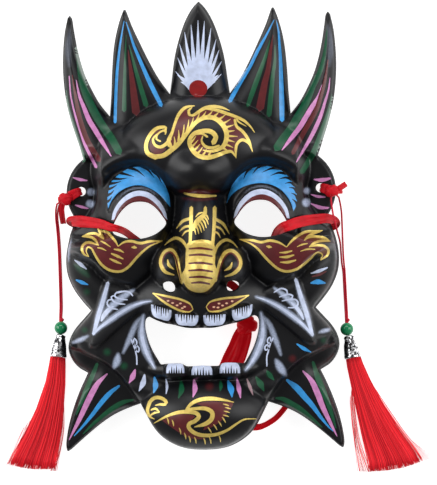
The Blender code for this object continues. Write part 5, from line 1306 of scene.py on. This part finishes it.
def skirt(side, mouth, finish):
    """A solid heart and hundreds of threads over it, which fan out from the cap to the tassel's cut end."""
    rng = random.Random(11 if side == "left" else 12)
    rows = np.array([(0.94 * mouth[0] + 0.06 * SKIRTS[side][0][0], mouth[1] + 1.6, 9.4)] + SKIRTS[side])
    centre, wide = rows[:, :2], rows[:, 2]
    ahead = np.gradient(centre, axis=0)
    ahead /= np.linalg.norm(ahead, axis=1)[:, None]
    across = np.stack([-ahead[:, 1], ahead[:, 0]], 1)
    share = np.concatenate([[0], np.cumsum(np.linalg.norm(np.diff(centre, axis=0), axis=1))])
    share /= share[-1]
    cut = np.array(CUT_ENDS[side]) / math.hypot(*CUT_ENDS[side])
    across += (share ** 2)[:, None] * (cut - across)
    across /= np.linalg.norm(across, axis=1)[:, None]

    def at(t):
        c = np.array([np.interp(t, share, centre[:, k]) for k in (0, 1)])
        a = np.array([np.interp(t, share, across[:, k]) for k in (0, 1)])
        return c, a, float(np.interp(t, share, wide)), 8.4 + (3.0 - 8.4) * t ** 0.6

    lines, radii, tones = [], [], []
    for i in range(THREADS):
        u = rng.uniform(-1, 1)
        w = rng.uniform(-0.2, 1) * math.sqrt(1 - u * u)
        bend, phase, drift = rng.uniform(-0.03, 0.03), rng.uniform(0, math.tau), rng.uniform(-0.05, 0.05)
        last = 1 - 0.03 * rng.random() ** 2 - 0.025 * u * u
        thick = rng.uniform(0.15, 0.24)
        line = []
        for t in np.linspace(0, last, 13):
            c, a, span, tall = at(t)
            out = u * (1 + drift * t) + bend * math.sin(3 * t + phase)
            x, y = c + a * out * span / 2 * 0.98
            line.append((x, y, FLOOR_GAP + thick + (tall - 2 * thick) * (0.5 + 0.5 * w)))
        lines.append(line)
        radii.append(thick)
        tones.append(rng.choice((0.25, 0.6, 0.8, 1, 1)))
    for first, last, count in STRAYS[side]:
        for i in range(count):
            t = (i + rng.random()) / count
            plan = (1 - t) * np.array(first, float) + t * np.array(last, float)
            flat = on_floor(smooth([tuple(p + [rng.uniform(-0.5, 0.5), 0]) for p in plan], 8.0))
            lines.append([(x, y, 3.2 + (1.0 - 3.2) * k / len(flat)) for k, (x, y) in enumerate(flat)])
            radii.append(0.15)
            tones.append(rng.choice((0.2, 0.5, 1)))
    made = strand_mesh(lines, radii, tones, f"threads_{side}", finish)
    heart = []
    turns = np.arange(40) / 40 * math.tau
    for t in np.linspace(0, 0.965, 20):
        c, a, span, tall = at(t)
        ridge = 1 + 0.05 * np.cos(turns * 17 + 2 * t)
        across_way = (np.cos(turns) * ridge * span * (0.455 - 0.05 * t))[:, None]
        lift = FLOOR_GAP + 0.25 + (tall - 0.9) * (0.5 + 0.47 * np.sin(turns))
        heart.append(np.concatenate([c + a * across_way, lift[:, None]], 1))
    core = object_from(f"tassel_heart_{side}", np.concatenate(heart), skin(len(heart), len(turns)), finish)
    # The heart in a darker red: painted shade between the threads
    tone = core.data.attributes.new("tone", "FLOAT", "POINT")
    tone.data.foreach_set("value", [HEART_SHADE_TONE] * len(core.data.vertices))
    for piece in (made, core):
        dress(piece, f"tassel_skirt_{side}")


def dress(made, node):
    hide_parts(node)
    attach(made, "root")
    return made


def studio():
    """A white floor and soft light from above and from both sides."""
    world = bpy.data.worlds.new("studio")
    bpy.context.scene.world = world
    world.use_nodes = True
    world.node_tree.nodes["Background"].inputs["Color"].default_value = (1, 1, 1, 1)
    world.node_tree.nodes["Background"].inputs["Strength"].default_value = 0.26
    mesh = bpy.data.meshes.new("floor")
    mesh.from_pydata([(-3, -3, -0.0004), (3, -3, -0.0004), (3, 3, -0.0004), (-3, 3, -0.0004)], [],
                     [(0, 1, 2, 3)])
    made, _, shader = new_material("pale_floor", (0.5, 0.5, 0.5), 0.9, 0.0, 0.1)
    shader.inputs["Emission Color"].default_value = (1, 1, 1, 1)
    shader.inputs["Emission Strength"].default_value = 0.88
    mesh.materials.append(made)
    floor = bpy.data.objects.new("floor", mesh)
    bpy.context.scene.collection.objects.link(floor)
    for name, place, size, power in (
            ("left_box", (-1.3, 0.3, 0.9), (1.0, 1.4), 20), ("right_box", (1.35, 0.2, 0.9), (1.0, 1.4), 17),
            ("top_box", (0.0, 1.4, 1.3), (1.4, 0.6), 12)):
        data = bpy.data.lights.new(name, "AREA")
        data.shape = "RECTANGLE"
        data.size, data.size_y = size
        data.energy = power
        lamp = bpy.data.objects.new(name, data)
        lamp.location = place
        lamp.rotation_euler = (Vector((0, 0, 0.02)) - Vector(place)).to_track_quat("-Z", "Y").to_euler()
        bpy.context.scene.collection.objects.link(lamp)


def bead_and_cap(side, glass, silver):
    """A side's bead and cap; returns both, and the middle of the cap's mouth."""
    x, y = BEADS[side]
    turns = np.linspace(0, math.pi, 25)
    profile = [(BEAD_RADIUS * math.sin(t), (1 - math.cos(t)) / 2) for t in turns[1:-1]]
    z = BEAD_RADIUS + FLOOR_GAP
    bead = turned(f"glass_bead_{side}", profile, (x, y + BEAD_RADIUS, z), (x, y - BEAD_RADIUS, z), glass)
    dress(bead, f"bead_{side}")
    (ax, ay), (bx, by) = CAPS[side]
    way = np.array([bx - ax, by - ay]) / math.hypot(bx - ax, by - ay) * CAP_LENGTH
    mouth = (ax + way[0], ay + way[1], CAP_MOUTH + FLOOR_GAP)
    profile = []
    for t in np.linspace(0, 1, 40):
        radius = np.interp(t, (0, 0.05, 0.14, 0.4, 0.8, 0.92, 1), (0.8, 1, 0.96, 1.32, 1.6, 1.72, 1.68))
        profile.append((CAP_TOP * radius, t))
    cap = turned(f"petal_cap_{side}", profile, (ax, ay, z), mouth, silver, 72,
                 lambda turns, t: 1 + 0.05 * np.cos(6 * turns + 9 * t) * np.sin(math.pi * min(1, 2.4 * t)))
    dress(cap, f"tassel_cap_{side}")
    return bead, cap, mouth


def strands(finish):
    """The cord strands from the ear ties to the beads, and the small knot over each bead."""
    for name, points in CORDS.items():
        line = route(points, CORD_STEP)
        side = "left" if "left" in name else "right"
        knot_at = np.array(TIE_LEFT_KNOT if side == "left" else TIE_RIGHT_KNOT)
        lead_in = line[0] + 0.5 * (knot_at - line[0])
        line[:, 0] += STRAND_SHIFT if name.endswith("b") else -STRAND_SHIFT
        bead_at = np.array([*BEADS[side], BEAD_RADIUS + FLOOR_GAP])
        shown_line = np.concatenate([[lead_in], line, [line[-1] + 0.3 * (bead_at - line[-1])]])
        made = cord_curve(name.replace("tassel_cord", "strand"), shown_line, CORD_RADIUS, finish)
        dress(made, name)
    wraps = ((1, 0.4, 0), 0, 0.4), ((0.3, 1, 0), 0.2, 0.4)
    for side, centre in CORD_KNOTS.items():
        made = knot(f"strand_knot_{side}", centre, CORD_KNOT_RADII, wraps, finish)
        dress(made, f"tassel_cord_{side}_a")


def ribbons(finish, finish_glowing_below):
    """The wide ribbons, their tails and their knot; what lies below the mask has a satin that glows more,
    painted light that lifts it out of the mask's shade.
    """
    for i, (name, points) in enumerate(RIBBONS.items()):
        below = "tail" in name
        start = [tuple(0.45 * a + 0.55 * b for a, b in zip(RIBBON_KNOT, points[0]))] if below else []
        made, line = band(name.replace("ribbon", "satin"), start + points, RIBBON_WIDTHS[name],
                          finish_glowing_below if below else finish, turn=1.3 * i)
        dress(made, name)
    wraps = ((0.54, 0.84, 0.1), 0.3, 0.56), ((-0.8, 0.5, 0.3), 0.1, 0.34)
    dress(knot("satin_knot", RIBBON_KNOT, RIBBON_KNOT_RADII, wraps, finish_glowing_below), "ribbon_knot")


def ear_tie(side, centre, loop, tail, wraps, finish):
    """A tie's knot, the band that goes through the ear's hole, and the short end."""
    node = f"ear_tie_{side}"
    dress(knot(f"tie_knot_{side}", centre, TIE_KNOT_RADII, wraps, finish), node)
    widths = (6.4, 5.6, 4.4, 3.8, 3.6, 3.6, 3.6, 3.6, 3.6)
    dress(band(f"tie_loop_{side}", loop, widths, finish, fold=0.3)[0], node)
    dress(band(f"tie_end_{side}", tail, (3.4, 3.8, 3.6), finish, fold=0.25, turn=1.0)[0], node)


def main():
    look_down()
    studio()
    bpy.context.scene.view_settings.view_transform = "Standard"
    # Both satins glow as painted light; the one below the mask glows more, against the mask's shade
    red, red_glowing_below, fibre = satin("red_satin", 0.03), satin("red_satin_glowing_below", 0.16), thread()
    braid, _, _ = new_material("red_cord", (0.5, 0.012, 0.03), 0.5, 0.0, 0.15)
    shell()
    glass, _, _ = new_material("green_bead", (0.008, 0.2, 0.075), 0.08, 0.0, 0.45)
    silver, tree, shader = new_material("silver_cap", (0.75, 0.75, 0.77), 0.22, 1.0)
    # Dark patches in the silver's colour: painted shade in the cap's filigree holes and recesses
    relief = spread(tree, speckle(tree, 700.0, 1.0), 0.42, 0.52, 0.0, 1.0)
    tree.links.new(two_tones(tree, relief, (0.05, 0.05, 0.055), (0.8, 0.8, 0.82)),
                   shader.inputs["Base Color"])
    beads, caps = {}, {}
    for side in BEADS:
        beads[side], caps[side], mouth = bead_and_cap(side, glass, silver)
        skirt(side, mouth, fibre)
    strands(braid)
    ribbons(red, red_glowing_below)
    ear_tie("left", TIE_LEFT_KNOT, TIE_LEFT_LOOP, TIE_LEFT_TAIL,
            (((0.9, 0.5, 0.2), -0.1, 0.42), ((0.3, -0.9, 0.3), -0.1, 0.4)), red)
    ear_tie("right", TIE_RIGHT_KNOT, TIE_RIGHT_LOOP, TIE_RIGHT_TAIL,
            (((0.8, -0.6, 0.2), 0, 0.42), ((0.5, 0.8, 0.3), 0.2, 0.4)), red)


main()
